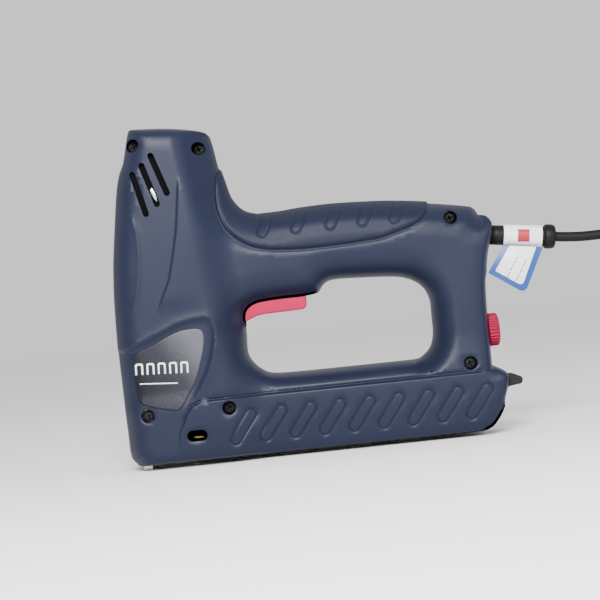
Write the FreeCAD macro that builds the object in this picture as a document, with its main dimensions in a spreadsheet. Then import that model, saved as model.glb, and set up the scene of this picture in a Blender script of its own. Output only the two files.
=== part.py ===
import FreeCAD, Part
import math
import os
import re

from FreeCAD import Vector

# Mains-powered staple gun. Lengths are in millimetres. The tool is drawn from its nose datum:
# x runs back from the nose, z up from the underside of the magazine, and y = 0 is the plane
# where the two housing halves meet. The left half lies on the -y side.

SIZES = {
    # overall
    "origin_x": 110.75, "nose_drop": 2.7, "wall": 2.5,
    "head_half": 28.0, "handle_half": 19.0, "base_half": 21.5, "crown": 4.0,
    "crown_taper": -40.0,
    # housing details
    "screw_hole": 1.7, "recess_radius": 4.0, "boss_radius": 4.2, "recess_depth": 5.0,
    "vent_radius": 1.5, "rib_radius": 3.0, "rib_height": 0.7, "rib_pitch": 17.8, "rib_count": 8,
    "pad_inset": 1.2, "pad_proud": 0.7, "plate_thick": 0.8,
    "screw_radius": 1.5, "screw_head": 3.4, "screw_head_thick": 2.4,
    # solenoid
    "coil_x": 22.0, "yoke_low": 92.0, "yoke_tall": 58.0, "yoke_long": 36.0, "yoke_half": 22.0,
    "plate": 3.0, "bore": 8.4, "bobbin_wall": 1.4, "flange_radius": 18.6, "flange_thick": 2.0,
    "winding_radius": 17.8, "plunger_radius": 8.0, "plunger_low": 123.0, "plunger_tall": 55.0,
    "rod_radius": 3.5, "rod_hole": 3.8, "carrier_low": 74.0, "carrier_tall": 12.0,
    "carrier_half": 9.0,
    # nose and staples
    "nose_plate_thick": 1.9, "nose_half": 11.0, "nose_tall": 44.0, "blade_thick": 1.2,
    "blade_half": 5.2, "blade_low": 18.5, "staple_half": 5.3, "wire": 1.2, "staple_leg": 14.0,
    "strip_low": 3.5, "strip_long": 55.0,
    # magazine
    "channel_half": 7.5, "channel_low": 2.0, "channel_tall": 20.0, "channel_rear": 202.0, "sheet": 1.2,
    "tray_thick": 1.8, "latch_half": 7.0, "ear_thick": 3.2,
    "rail_half": 3.9, "rail_long": 196.0, "rail_low": 2.4, "rail_tall": 12.4,
    # trigger and switch
    "trigger_half": 8.0, "pivot_x": 64.0, "pivot_z": 95.0, "pivot_radius": 2.0,
    # speed knob and cord
    "knob_z": 58.5, "knob_radius": 10.0, "knob_long": 6.6, "shaft_radius": 3.0,
    "cord_radius": 3.0, "sleeve_radius": 6.0, "collar_radius": 7.4, "sleeve_tilt": 7.5,
    "lead_radius": 0.8, "coil_mid_radius": 33.0, "coil_band": 9.0, "coil_tall": 18.0, "coil_centre": 342.0,
    "plug_thick": 13.8, "pin_radius": 2.0, "pin_long": 19.0, "pin_spacing": 18.6,
}

doc = FreeCAD.newDocument("staple_gun")
sheet = doc.addObject("Spreadsheet::Sheet", "Dimensions")
for row, (alias, value) in enumerate(SIZES.items(), start=1):
    sheet.set(f"A{row}", alias)
    sheet.set(f"B{row}", str(value))
    sheet.setAlias(f"B{row}", alias)
doc.recompute()


def size(alias):
    """The value of one driving dimension, read from the sheet."""
    return float(sheet.get(alias))


# The part's origin is at the bottom centre of the whole tool, under the nose tip's level.
DATUM = FreeCAD.Placement(Vector(-size("origin_x"), 0, size("nose_drop")), FreeCAD.Rotation())
nodes = []


def bind(item, **sizes):
    """Bind properties to expressions written with the sheet's aliases."""
    for name, expression in sizes.items():
        item.setExpression(name, re.sub(r"[a-z]\w*", lambda word: "Dimensions." + word.group(), expression))
    return item


def keep(node, item):
    """Name a finished sub-part and set it in the part's own frame."""
    item.Label = node
    item.Placement = DATUM.multiply(item.Placement)
    nodes.append(item)
    return item


def box(long, wide, high, x, z, y=None):
    """A block from x rearward and from z up, centred on the split plane unless y is given."""
    block = bind(doc.addObject("Part::Box", "block"), Length=long, Width=wide, Height=high)
    doc.recompute()
    start = -block.Width.Value / 2 if y is None else y
    block.Placement.Base = Vector(x, start, z)
    return block


def rod(radius, height, foot, axis=Vector(0, 0, 1)):
    """A cylinder from its foot along an axis."""
    item = bind(doc.addObject("Part::Cylinder", "rod"), Radius=radius, Height=height)
    item.Placement = FreeCAD.Placement(foot, FreeCAD.Rotation(Vector(0, 0, 1), axis))
    return item


def join(*items):
    """One solid from several that overlap or touch."""
    union = doc.addObject("Part::MultiFuse", "union")
    union.Shapes = list(items)
    union.Refine = True
    return union


def cut(base, *tools):
    """The base with each tool taken out of it in turn."""
    for tool in tools:
        remainder = doc.addObject("Part::Cut", "remainder")
        remainder.Base = base
        remainder.Tool = tool
        remainder.Refine = True
        base = remainder
    return base


def trace(start, steps):
    """Edges of an outline on the side view: ("to", end) is a line, ("by", middle, end) an arc."""
    edges = []
    here = Vector(start[0], start[1], 0)
    first = here
    for step in steps:
        end = Vector(step[-1][0], step[-1][1], 0)
        if step[0] == "to":
            edges.append(Part.LineSegment(here, end))
        else:
            edges.append(Part.Arc(here, Vector(step[1][0], step[1][1], 0), end))
        here = end
    if here.distanceToPoint(first) > 1e-6:
        edges.append(Part.LineSegment(here, first))
    return edges


def slot(start, end, radius):
    """Edges of a round-ended slot between two centres."""
    first = Vector(start[0], start[1], 0)
    last = Vector(end[0], end[1], 0)
    along = (last - first).normalize() * radius
    across = Vector(-along.y, along.x, 0)
    return [
        Part.LineSegment(first + across, last + across),
        Part.Arc(last + across, last + along, last - across),
        Part.LineSegment(last - across, first - across),
        Part.Arc(first - across, first - along, first + across),
    ]


def ring(x, z, radius):
    """A full circle on the side view."""
    return [Part.Circle(Vector(x, z, 0), Vector(0, 0, 1), radius)]


def sketch_on(body, name, loops, role="XZ_Plane", offset=0.0):
    """A sketch on one of the body's own origin planes, or parallel to it."""
    sketch = body.newObject("Sketcher::SketchObject", name)
    plane = [item for item in body.Origin.OriginFeatures if item.Role == role][0]
    sketch.AttachmentSupport = (plane, [""])
    sketch.MapMode = "FlatFace"
    sketch.AttachmentOffset = FreeCAD.Placement(Vector(0, 0, offset), FreeCAD.Rotation())
    for loop in loops:
        sketch.addGeometry(loop)
    return sketch


def grow(body, kind, name, loops, length, offset=0.0, reverse=False, middle=False, role="XZ_Plane",
         taper=None):
    """One Pad or Pocket of an outline; a wrong direction would leave the volume as it was."""
    before = body.Shape.Volume if body.Tip else 0.0
    feature = body.newObject("PartDesign::" + kind, name)
    feature.Profile = sketch_on(body, name + "_sketch", loops, role, offset)
    bind(feature, Length=length)
    feature.Reversed = reverse
    if taper:
        bind(feature, TaperAngle=taper)
    if middle:
        feature.SideType = "Symmetric"
    body.Tip = feature
    doc.recompute()
    change = body.Shape.Volume - before
    if (change > 0) != (kind == "Pad") or abs(change) < 1e-3:
        raise ValueError(f"{body.Label}: {name} changed the volume by {change:.3f}")
    return feature


def plate_body(node, loops, length, offset=0.0, middle=False, reverse=False, role="XZ_Plane"):
    """A body that is one pad of a side-view outline."""
    body = doc.addObject("PartDesign::Body", node + "_body")
    grow(body, "Pad", node + "_pad", loops, length, offset, reverse, middle, role)
    return keep(node, body)


# ---------------------------------------------------------------- outlines of the housing

OUTLINE = ((1.5, 0), [
    ("by", (-4.8, 2.6), (-7.2, 9)), ("by", (-8.4, 72), (2.6, 170)), ("to", (5.6, 178)), ("to", (11, 197.4)),
    ("by", (12, 199.1), (14, 199.6)), ("by", (36, 198), (56.5, 193.8)), ("by", (59, 192), (60, 188.5)),
    ("to", (62.4, 171.5)), ("to", (66, 157)), ("by", (70.8, 147.4), (83, 141.4)),
    ("by", (125, 143), (186, 137.8)), ("to", (208.5, 133.6)), ("by", (212.4, 131.6), (214.4, 127.6)),
    ("to", (218.4, 127)), ("by", (220.7, 125.6), (221.8, 122.8)), ("to", (217.1, 102.1)),
    ("to", (213.8, 88.5)), ("to", (212.3, 60)), ("to", (212.1, 37.6)), ("to", (221, 32.4)),
    ("to", (219.6, 22.8)), ("to", (215.5, 11.4)), ("by", (211.4, 4.4), (204, 0)),
])
OPENING = ((69, 62), [
    ("by", (72.4, 50.6), (83, 46)), ("to", (167.5, 45.7)), ("by", (176.6, 50), (180, 60)),
    ("to", (180.2, 78.2)), ("by", (176.2, 90), (163.9, 95.6)), ("to", (124, 98)),
    ("by", (118, 95.8), (114, 91.2)), ("to", (80, 89.6)), ("by", (71.8, 86.6), (69.2, 79)),
])
HEAD = ((1.5, 0), OUTLINE[1][:8] + [
    ("by", (60, 120), (50, 78)), ("by", (44.5, 52), (32.5, 34)), ("to", (22.9, 16.9)), ("to", (19, 0)),
])
BASE = ((22.9, 16.9), [
    ("to", (28.5, 28)), ("by", (33, 33), (42, 34.4)), ("to", (217.6, 34.4)), ("to", (221, 32.4)),
    ("to", (219.6, 22.8)), ("to", (215.5, 11.4)), ("by", (211.4, 4.4), (204, 0)), ("to", (19, 0)),
])
GRIP = ((64.4, 163), [
    ("by", (63.2, 150), (65, 137.6)), ("by", (74, 125.6), (91.1, 120.2)), ("to", (130, 119)),
    ("by", (163.7, 122.4), (184, 135)), ("to", (184, 137)), ("by", (125, 142), (84, 140.6)),
    ("by", (71, 146.4), (65.6, 157)),
])
HEAD_ROOM = ((-5, 38), [
    ("by", (-5.8, 78), (4.4, 168)), ("to", (13, 195.6)), ("to", (33, 194.8)), ("to", (54, 190.6)),
    ("to", (57.6, 188)), ("to", (59.6, 171)), ("by", (57, 120), (47.2, 78)), ("by", (41.8, 54), (30.5, 38)),
])
HANDLE_ROOM = ((50, 93), [
    ("to", (66, 93)), ("to", (112, 94)), ("to", (122, 100.8)), ("to", (166, 98.2)), ("to", (180, 92)),
    ("to", (183, 82)), ("to", (183, 38)), ("to", (209.2, 38)), ("to", (209.4, 60)), ("to", (211, 90)),
    ("to", (214, 103)), ("to", (215, 124.5)), ("to", (212, 127)), ("to", (206, 131)), ("to", (186, 134.8)),
    ("by", (125, 140), (84, 138.6)), ("to", (72, 142)), ("to", (63, 152)), ("to", (50, 152)),
])
BASE_ROOM = ((26, 2.5), [("to", (26, 20.6)), ("to", (34, 31.4)), ("to", (216, 31.4)), ("to", (214, 2.5))])
NOSE_ROOM = ((-2.2, -1), [("to", (-2.2, 45)), ("to", (31, 45)), ("to", (31, -1))])
TRIGGER_SLOT = ((58, 78), [("to", (58, 102)), ("to", (114, 102)), ("to", (114, 78))])

# x, z of each housing screw, and how far its boss stops short of the split plane
SHELL_SCREWS = [
    (11.9, 190.9, 0.0), (50.9, 185.9, 0.0), (198.1, 128.2, 0.0),
    (200.6, 39.9, 0.0), (54.3, 28.7, 0.0), (4.8, 28.2, 12.2),
]
VENTS = [((10.4, 173.3), (16.3, 149.1)), ((16.6, 178.0), (23.5, 154.4)), ((22.6, 183.4), (30.1, 160.3))]
FIRST_RIB = ((56.2, 9.2), (67.0, 23.4))
SIGHT_WINDOW = ((30.8, 14.0), (36.2, 14.0))
NAME_PLATE = ((-0.9, 41.7), [
    ("by", (-1.4, 54), (0, 65.8)), ("to", (19.8, 73.6)), ("by", (30, 77), (38.3, 77.2)),
    ("by", (42.6, 76), (43, 71)), ("by", (37.5, 51), (27.7, 34.6)), ("by", (25.4, 31), (22.6, 30.2)),
    ("to", (1.6, 36.4)), ("by", (0, 38.4), (-0.9, 41.7)),
])


def sleeve_point(along, above=0.0):
    """A point of the cord sleeve's axis, measured from where it leaves the housing."""
    tilt = math.radians(size("sleeve_tilt"))
    x = 221.0 + along * math.cos(tilt) + above * math.sin(tilt)
    z = 114.9 - along * math.sin(tilt) + above * math.cos(tilt)
    return Vector(x, 0, z)


SLEEVE_AXIS = (sleeve_point(1) - sleeve_point(0)).normalize()


# ---------------------------------------------------------------- housing

def bore_at(body, name, radius, height, foot, axis):
    """A round hole cut into a body along any axis."""
    hole = body.newObject("PartDesign::SubtractiveCylinder", name)
    bind(hole, Radius=radius, Height=height)
    hole.Placement = FreeCAD.Placement(foot, FreeCAD.Rotation(Vector(0, 0, 1), axis))
    body.Tip = hole
    doc.recompute()


def repeat(body, feature, count, pitch):
    """Copies of a feature in a row along x."""
    row = body.newObject("PartDesign::LinearPattern", feature.Label + "_row")
    row.Originals = [feature]
    row.Direction = ([item for item in body.Origin.OriginFeatures if item.Role == "X_Axis"][0], [""])
    bind(row, Length=f"{pitch} * ({count} - 1)")
    row.Occurrences = int(size(count))
    body.Tip = row
    doc.recompute()


def half_shell():
    """The left half of the housing, open on the split plane."""
    body = doc.addObject("PartDesign::Body", "left_shell_body")
    base_side, head_side = size("base_half") - size("crown"), size("head_half") - size("crown")
    grow(body, "Pad", "sides", [trace(*OUTLINE), trace(*OPENING)], "handle_half")
    grow(body, "Pad", "base", [trace(*BASE)], "base_half - crown")
    grow(body, "Pad", "base_crown", [trace(*BASE)], "crown", base_side, taper="crown_taper")
    grow(body, "Pad", "head", [trace(*HEAD)], "head_half - crown")
    grow(body, "Pad", "head_crown", [trace(*HEAD)], "crown", head_side, taper="crown_taper")
    grow(body, "Pocket", "head_room", [trace(*HEAD_ROOM)], "head_half - wall", reverse=True)
    grow(body, "Pocket", "handle_room", [trace(*HANDLE_ROOM)], "handle_half - wall", reverse=True)
    grow(body, "Pocket", "base_room", [trace(*BASE_ROOM)], "base_half - wall", reverse=True)
    grow(body, "Pocket", "nose_room", [trace(*NOSE_ROOM)], "nose_half + 1", reverse=True)
    grow(body, "Pocket", "trigger_slot", [trace(*TRIGGER_SLOT)], "trigger_half + 0.6", reverse=True)
    grow(body, "Pocket", "drawer_gap", [trace(*DRAWER_GAP)], "base_half - wall", reverse=True)
    grow(body, "Pocket", "latch_gap", [trace(*LATCH_GAP)], "latch_half + ear_thick + 0.6", reverse=True)
    for index, (x, z, stop) in enumerate(SHELL_SCREWS, start=1):
        outer = size("head_half") if x < 60 and index != 5 else size("handle_half")
        outer = size("base_half") if index == 5 else outer
        if not stop:
            grow(body, "Pad", f"post_{index}", [ring(x, z, size("boss_radius"))], f"{outer - 1}")
        bore_at(body, f"hole_{index}", "screw_hole", "head_half * 2", Vector(x, 5, z), Vector(0, -1, 0))
        depth = Vector(x, -outer + size("recess_depth"), z)
        bore_at(body, f"recess_{index}", "recess_radius", "recess_depth + 1", depth, Vector(0, -1, 0))
    vents = [slot(start, end, size("vent_radius")) for start, end in VENTS]
    grow(body, "Pocket", "vents", vents, "head_half * 2", reverse=True)
    window = slot(*SIGHT_WINDOW, 3.3)
    grow(body, "Pocket", "sight_window", [window], "head_half * 2", reverse=True)
    grow(body, "Pocket", "plate_seat", [trace(*NAME_PLATE)], "plate_thick", size("head_half"))
    grow(body, "Pocket", "grip_seat", [trace(*GRIP)], "pad_inset", size("handle_half"))
    rib = slot(*FIRST_RIB, size("rib_radius"))
    ribs = grow(body, "Pad", "rib", [rib], "rib_height", size("base_half"))
    repeat(body, ribs, "rib_count", "rib_pitch")
    bore_at(body, "sleeve_hole", "sleeve_radius", "20", sleeve_point(-10), SLEEVE_AXIS)
    knob_side = Vector(200, 0, size("knob_z"))
    bore_at(body, "shaft_hole", "shaft_radius + 1", "20", knob_side, Vector(1, 0, 0))
    return body


DRAWER_GAP = ((31, -1), [
    ("to", (31, 3)), ("to", (206, 3)), ("to", (206, 22)), ("to", (224, 22)), ("to", (224, -1)),
])
LATCH_GAP = ((205, 21), [("to", (205, 32)), ("to", (224, 32)), ("to", (224, 21))])
LATCH_X, LATCH_Z = 212.5, 27.0
CLAMP_SCREWS = (110.4, 124.0)


def mirrored(node, source):
    """The right-hand twin of a finished sub-part."""
    twin = doc.addObject("Part::Mirroring", "twin")
    twin.Source = source
    twin.Base = Vector(0, 0, 0)
    twin.Normal = Vector(0, 1, 0)
    twin.Label = node
    nodes.append(twin)


def housing():
    """Both halves; the right one is the mirror of the left."""
    mirrored("right_shell", keep("left_shell", half_shell()))


def grip_pads():
    """Soft pads moulded into the handle's sides, proud of the hard plastic."""
    depth = size("handle_half") - size("pad_inset")
    left = plate_body("left_grip_pad", [trace(*GRIP)], "pad_inset + pad_proud", depth)
    mirrored("right_grip_pad", left)


def name_plates():
    """Thin metal plates seated in the head's sides."""
    inner = size("head_half") - size("plate_thick")
    left = plate_body("left_name_plate", [trace(*NAME_PLATE)], "plate_thick", inner)
    mirrored("right_name_plate", left)


def shell_screws():
    """Six screws that go in from the left, one short one at the nose; they share one sub-part."""
    screws = []
    for index, (x, z, stop) in enumerate(SHELL_SCREWS, start=1):
        seat = (size("base_half") if index == 5 else size("head_half") if x < 60 else size("handle_half"))
        seat = -(seat - size("recess_depth"))
        shank = str(-seat - stop + (0 if stop else 12))
        screws.append(rod("screw_radius", shank, Vector(x, seat, z), Vector(0, 1, 0)))
        screws.append(rod("screw_head", "screw_head_thick", Vector(x, seat, z), Vector(0, -1, 0)))
    keep("shell_screws", join(*screws))


# ---------------------------------------------------------------- solenoid and striker

def solenoid():
    """Coil, frame and plunger of the electromagnet that throws the striker down."""
    x, low = size("coil_x"), size("yoke_low")
    up = Vector(0, 0, 1)
    frame = box("yoke_long", "2 * yoke_half", "yoke_tall", x - size("yoke_long") / 2, low)
    room = box("yoke_long + 2", "2 * (yoke_half - plate)", "yoke_tall - 2 * plate",
               x - size("yoke_long") / 2 - 1, low + size("plate"))
    top_hole = rod("bore", "20", Vector(x, 0, low + size("yoke_tall") - 10), up)
    foot_hole = rod("rod_hole", "20", Vector(x, 0, low - 10), up)
    keep("solenoid_frame", cut(frame, room, top_hole, foot_hole))

    floor = low + size("plate")
    tall = "(yoke_tall - 2 * plate)"
    tube = rod("bore + bobbin_wall", tall, Vector(x, 0, floor))
    lower = rod("flange_radius", "flange_thick", Vector(x, 0, floor))
    roof = low + size("yoke_tall") - size("plate") - size("flange_thick")
    upper = rod("flange_radius", "flange_thick", Vector(x, 0, roof))
    keep("coil_bobbin", cut(join(tube, lower, upper), rod("bore", "200", Vector(x, 0, 0))))

    copper = rod("winding_radius", tall + " - 2 * flange_thick", Vector(x, 0, floor + size("flange_thick")))
    keep("coil_winding", cut(copper, rod("bore + bobbin_wall", "200", Vector(x, 0, 0))))

    keep("plunger", rod("plunger_radius", "plunger_tall", Vector(x, 0, size("plunger_low"))))
    carrier_top = size("carrier_low") + size("carrier_tall")
    reach = "plunger_low - carrier_low - carrier_tall"
    keep("push_rod", rod("rod_radius", reach, Vector(x, 0, carrier_top)))
    spring = rod("bore - 0.9", "plunger_low - yoke_low - plate", Vector(x, 0, floor))
    keep("return_spring", cut(spring, rod("rod_radius + 0.6", "200", Vector(x, 0, 0))))
    keep("top_bumper", rod("5.5", "15.5", Vector(x, 0, size("plunger_low") + size("plunger_tall") + 0.4)))
    keep("bottom_bumper", box("18", "20", "10", x - 6, size("nose_tall")))


BLADE_X = 2.4


def striker():
    """The blade that drives the staple, hung on the block under the push rod."""
    front = BLADE_X + size("blade_thick")
    low = size("carrier_low")
    carrier = box("coil_x + 8 - 3.6", "2 * carrier_half", "carrier_tall", front, low)
    pin_at = Vector(BLADE_X - 0.8, 0, low + size("carrier_tall") / 2)
    carrier = cut(carrier, rod("1.55", "9", pin_at, Vector(1, 0, 0)))
    keep("blade_carrier", carrier)
    blade = box("blade_thick", "2 * blade_half", "carrier_low + carrier_tall - blade_low",
                BLADE_X, size("blade_low"))
    keep("driver_blade", cut(blade, rod("1.55", "9", pin_at, Vector(1, 0, 0))))
    keep("blade_pin", rod("1.5", "7", pin_at, Vector(1, 0, 0)))


# ---------------------------------------------------------------- nose and magazine

def nose():
    """Steel plates that guide the blade, and the die-cast block that holds them."""
    gap_front = BLADE_X - 0.1
    gap_rear = BLADE_X + size("blade_thick") + 0.1
    drop, tall = size("nose_drop"), size("nose_tall")
    front_x = gap_front - size("nose_plate_thick")
    keep("nose_plate", box("nose_plate_thick", "2 * nose_half", "nose_tall + nose_drop", front_x, -drop))
    guide = box("nose_plate_thick", "2 * nose_half", "nose_tall + nose_drop", gap_rear, -drop)
    window = box("5", "2 * staple_half + 0.4", "staple_leg + strip_low + nose_drop + 1", gap_rear - 1, -drop - 0.5)
    keep("blade_guide", cut(guide, window))
    sides = [box("blade_thick + 0.2", "4", "nose_tall + nose_drop", gap_front, -drop, y)
             for y in (-size("nose_half"), size("nose_half") - 4)]
    keep("guide_strips", join(*sides))
    rear = gap_rear + size("nose_plate_thick")
    block = box(f"30.5 - {rear}", "2 * nose_half", "nose_tall", rear, 0)
    tunnel = box("40", "2 * channel_half + 0.2", "channel_low + channel_tall + 0.1", rear - 1, -0.1)
    keep("nose_block", cut(block, tunnel))


def magazine():
    """Fixed channel, staples, the drawer that slides out to the rear, and its latch."""
    start = BLADE_X + size("blade_thick") + 0.1 + size("nose_plate_thick")
    low = size("channel_low")
    outer = box(f"channel_rear - {start}", "2 * channel_half", "channel_tall", start, low)
    inner = box("400", "2 * (channel_half - sheet)", "channel_tall - sheet", start - 1, low - 0.01)
    sight = box("12", "40", "6", 27.5, 11)
    keep("magazine_channel", cut(outer, inner, sight))

    front = BLADE_X + size("blade_thick") + 0.1
    legs = box("strip_long", "2 * staple_half", "staple_leg", front, size("strip_low"))
    gap = box("strip_long + 2", "2 * (staple_half - wire)", "staple_leg", front - 1,
              size("strip_low") - size("wire"))
    keep("staple_strip", cut(legs, gap))

    rail_x = start + 1
    rail_low = size("rail_low")
    rail_top = rail_low + size("rail_tall")
    rail = box("rail_long", "2 * rail_half", "rail_tall", rail_x, rail_low)
    hollow = box("rail_long + 2", "2 * (rail_half - sheet)", "rail_tall", rail_x - 1, rail_low + size("sheet"))
    keep("magazine_rail", cut(rail, hollow))
    cap_x = rail_x + size("rail_long")
    cap = trace((cap_x, 0.4), [("to", (cap_x + 2, 0.4)), ("by", (211, 5), (214.4, 11.4)),
                               ("to", (217.4, 21.4)), ("to", (cap_x, 21.4))])
    block = doc.addObject("PartDesign::Body", "end_cap_block")
    grow(block, "Pad", "cap_pad", [cap], "2 * (base_half - wall) - 1", middle=True)
    ears = [box("6", "ear_thick - 0.2", "8.8", LATCH_X - 3, 21.4, y)
            for y in (-size("latch_half") - size("ear_thick"), size("latch_half") + 0.2)]
    across = Vector(0, -1, 0)
    keep("drawer_end_cap", cut(join(block, *ears), rod("1.55", "60", Vector(LATCH_X, 30, LATCH_Z), across)))

    tray_x = 32.0
    keep("magazine_tray", box(f"{cap_x - tray_x}", "2 * (base_half - wall) - 0.6", "tray_thick", tray_x, 0))

    rod_z = 8.0
    pusher_x = front + size("strip_long") + 0.3
    saddle = box("14", "2 * staple_half", "rail_tall + 1.2", pusher_x, size("strip_low"))
    straddle = box("20", "2 * rail_half + 0.3", f"{rail_top + 0.15 - size('strip_low') + 0.1}",
                   pusher_x - 1, size("strip_low") - 0.1)
    tab = box("14", "2 * (rail_half - sheet) - 0.6", "rail_tall - 2", pusher_x, rail_low + 2.2)
    along = Vector(1, 0, 0)
    hole = rod("1.3", "20", Vector(pusher_x - 1, 0, rod_z), along)
    keep("pusher", cut(join(cut(saddle, straddle), tab), hole))
    keep("spring_rod", rod("1.2", f"{cap_x - rail_x - 2}", Vector(rail_x + 2, 0, rod_z), along))
    spring = rod("2.4", f"{cap_x - pusher_x - 14}", Vector(pusher_x + 14, 0, rod_z), along)
    keep("pusher_spring", cut(spring, rod("1.6", "400", Vector(0, 0, rod_z), along)))

    tab_outline = trace((215.2, 22.6), [
        ("to", (220.3, 23.8)), ("to", (228.7, 24.9)), ("by", (229.9, 26.8), (229.2, 29.2)),
        ("to", (225.3, 31.1)), ("to", (221.6, 31.6)), ("to", (209, 30.8)), ("to", (209, 22.6)),
    ])
    body = doc.addObject("PartDesign::Body", "latch_body")
    grow(body, "Pad", "latch_pad", [tab_outline], "2 * latch_half", middle=True)
    bore_at(body, "latch_bore", "1.55", "40", Vector(LATCH_X, 20, LATCH_Z), Vector(0, -1, 0))
    keep("magazine_latch", body)
    pin_half = size("latch_half") + size("ear_thick")
    keep("latch_pin", rod("1.5", f"{2 * pin_half}", Vector(LATCH_X, pin_half, LATCH_Z), across))
    spring_x = 217.4
    winding = rod("1.6", "1.4", Vector(spring_x, 0, 21.4))
    keep("latch_spring", cut(winding, rod("0.9", "10", Vector(spring_x, 0, 20))))



# ---------------------------------------------------------------- trigger and switch

def trigger_group():
    """The trigger turns on a pin at its front end and presses the switch above it."""
    pivot = Vector(size("pivot_x"), 0, size("pivot_z"))
    body = doc.addObject("PartDesign::Body", "trigger_body")
    lever = trace((70, 79.4), [
        ("to", (76.1, 81.4)), ("to", (81, 82)), ("to", (100, 82.2)), ("by", (105, 84.6), (106, 89.6)),
        ("to", (106, 94.6)), ("to", (86, 97.4)), ("to", (68.4, 99.4)), ("by", (60, 99), (60, 92.4)),
        ("to", (66, 84)),
    ])
    grow(body, "Pad", "trigger_pad", [lever], "2 * trigger_half", middle=True)
    bore_at(body, "trigger_bore", "pivot_radius + 0.05", "40", pivot + Vector(0, 20, 0), Vector(0, -1, 0))
    keep("trigger", body)
    pin_half = size("handle_half") - size("wall")
    end = pivot + Vector(0, pin_half, 0)
    keep("trigger_pin", rod("pivot_radius", f"{2 * pin_half}", end, Vector(0, -1, 0)))
    coil = rod("3.0", "7.9", Vector(91, 0, 97.1))
    keep("trigger_spring", cut(coil, rod("2.2", "20", Vector(91, 0, 94))))

    switch = box("22", "10", "13", 74, 105)
    keep("microswitch", cut(switch, rod("1.6", "4", Vector(82, 0, 104.9))))
    keep("switch_plunger", rod("1.5", "8", Vector(82, 0, 98.3)))
    terminals = [box("1", "6", "5", x, 118) for x in (77, 85, 93)]
    keep("switch_terminals", join(*terminals))


# ---------------------------------------------------------------- speed control and electronics

def electronics():
    """Speed knob on its shaft, and the board that times the coil's pulses."""
    back = Vector(1, 0, 0)
    z = size("knob_z")
    skin_x = 212.6
    keep("power_knob", cut(rod("knob_radius", "knob_long", Vector(skin_x + 0.4, 0, z), back),
                           rod("shaft_radius", "4", Vector(skin_x, 0, z), back)))
    keep("knob_shaft", rod("shaft_radius", "10", Vector(skin_x + 4 - 10, 0, z), back))
    can = rod("8.5", "8", Vector(skin_x - 18, 0, z), back)
    neck = rod("4.5", "5.4", Vector(skin_x - 10, 0, z), back)
    hole = rod("shaft_radius + 0.05", "20", Vector(skin_x - 6, 0, z), back)
    keep("potentiometer", cut(join(can, neck), hole))
    keep("circuit_board", box("24", "1.6", "36", 185, 70, 6))
    keep("capacitor", rod("6", "14", Vector(200.5, 6, 97), Vector(0, -1, 0)))
    keep("triac", join(box("10", "4.4", "9", 197, 74, 1.6), box("10", "1.2", "15", 197, 74, 0.4)))
    keep("terminal_block", box("8", "9", "10", 186, 74, -3))


# ---------------------------------------------------------------- mains cord

ROUTE = [
    (259.0, 0.0, 109.9), (272.0, 0.0, 108.2), (290.0, 0.5, 108.6), (309.0, 0.5, 107.8),
    (327.0, -0.5, 104.0), (344.0, -4.0, 95.5), (357.5, -9.5, 82.0), (364.5, -15.5, 64.5),
    (363.5, -22.0, 46.5), (354.5, -28.0, 31.5), (341.0, -31.5, 21.5), (327.0, -30.5, 18.6),
]
TAIL = [
    (342.0, 39.0, 17.0), (352.8, 37.2, 18.0), (362.3, 32.0, 19.4), (369.6, 24.0, 20.8),
    (373.6, 14.0, 22.3),
]


def cord_tube(node, points, thickness="cord_radius", copies=(Vector(),)):
    """A round cord along straight runs joined by tangent arcs, each as large as its runs allow."""
    corners = [Vector(*point) for point in points]
    edges = []
    here = corners[0]
    length = 0.0
    for before, corner, after in zip(corners, corners[1:], corners[2:]):
        arriving = (corner - before).normalize()
        leaving = (after - corner).normalize()
        turn = arriving.getAngle(leaving)
        reach = 0.45 * min(corner.distanceToPoint(before), corner.distanceToPoint(after))
        radius = reach / math.tan(turn / 2)
        print(f"{node}: turn {math.degrees(turn):5.1f} degrees, radius {radius:6.1f} mm")
        start = corner - arriving * reach
        end = corner + leaving * reach
        inward = (leaving - arriving).normalize()
        middle = corner + inward * (radius / math.cos(turn / 2) - radius)
        edges.append(Part.LineSegment(here, start).toShape())
        edges.append(Part.Arc(start, middle, end).toShape())
        length += here.distanceToPoint(start) + radius * turn
        here = end
    edges.append(Part.LineSegment(here, corners[-1]).toShape())
    length += here.distanceToPoint(corners[-1])
    section = Part.makeCircle(size(thickness), corners[0], corners[1] - corners[0])
    solid = Part.Wire(edges).makePipeShell([Part.Wire([section])], True, False)
    expected = math.pi * size(thickness) ** 2 * length
    print(f"{node}: length {length:.1f} mm, volume {solid.Volume:.0f} against {expected:.0f}")
    item = doc.addObject("Part::Feature", node)
    item.Shape = Part.makeCompound([solid.translated(step) for step in copies])
    keep(node, item)


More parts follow.
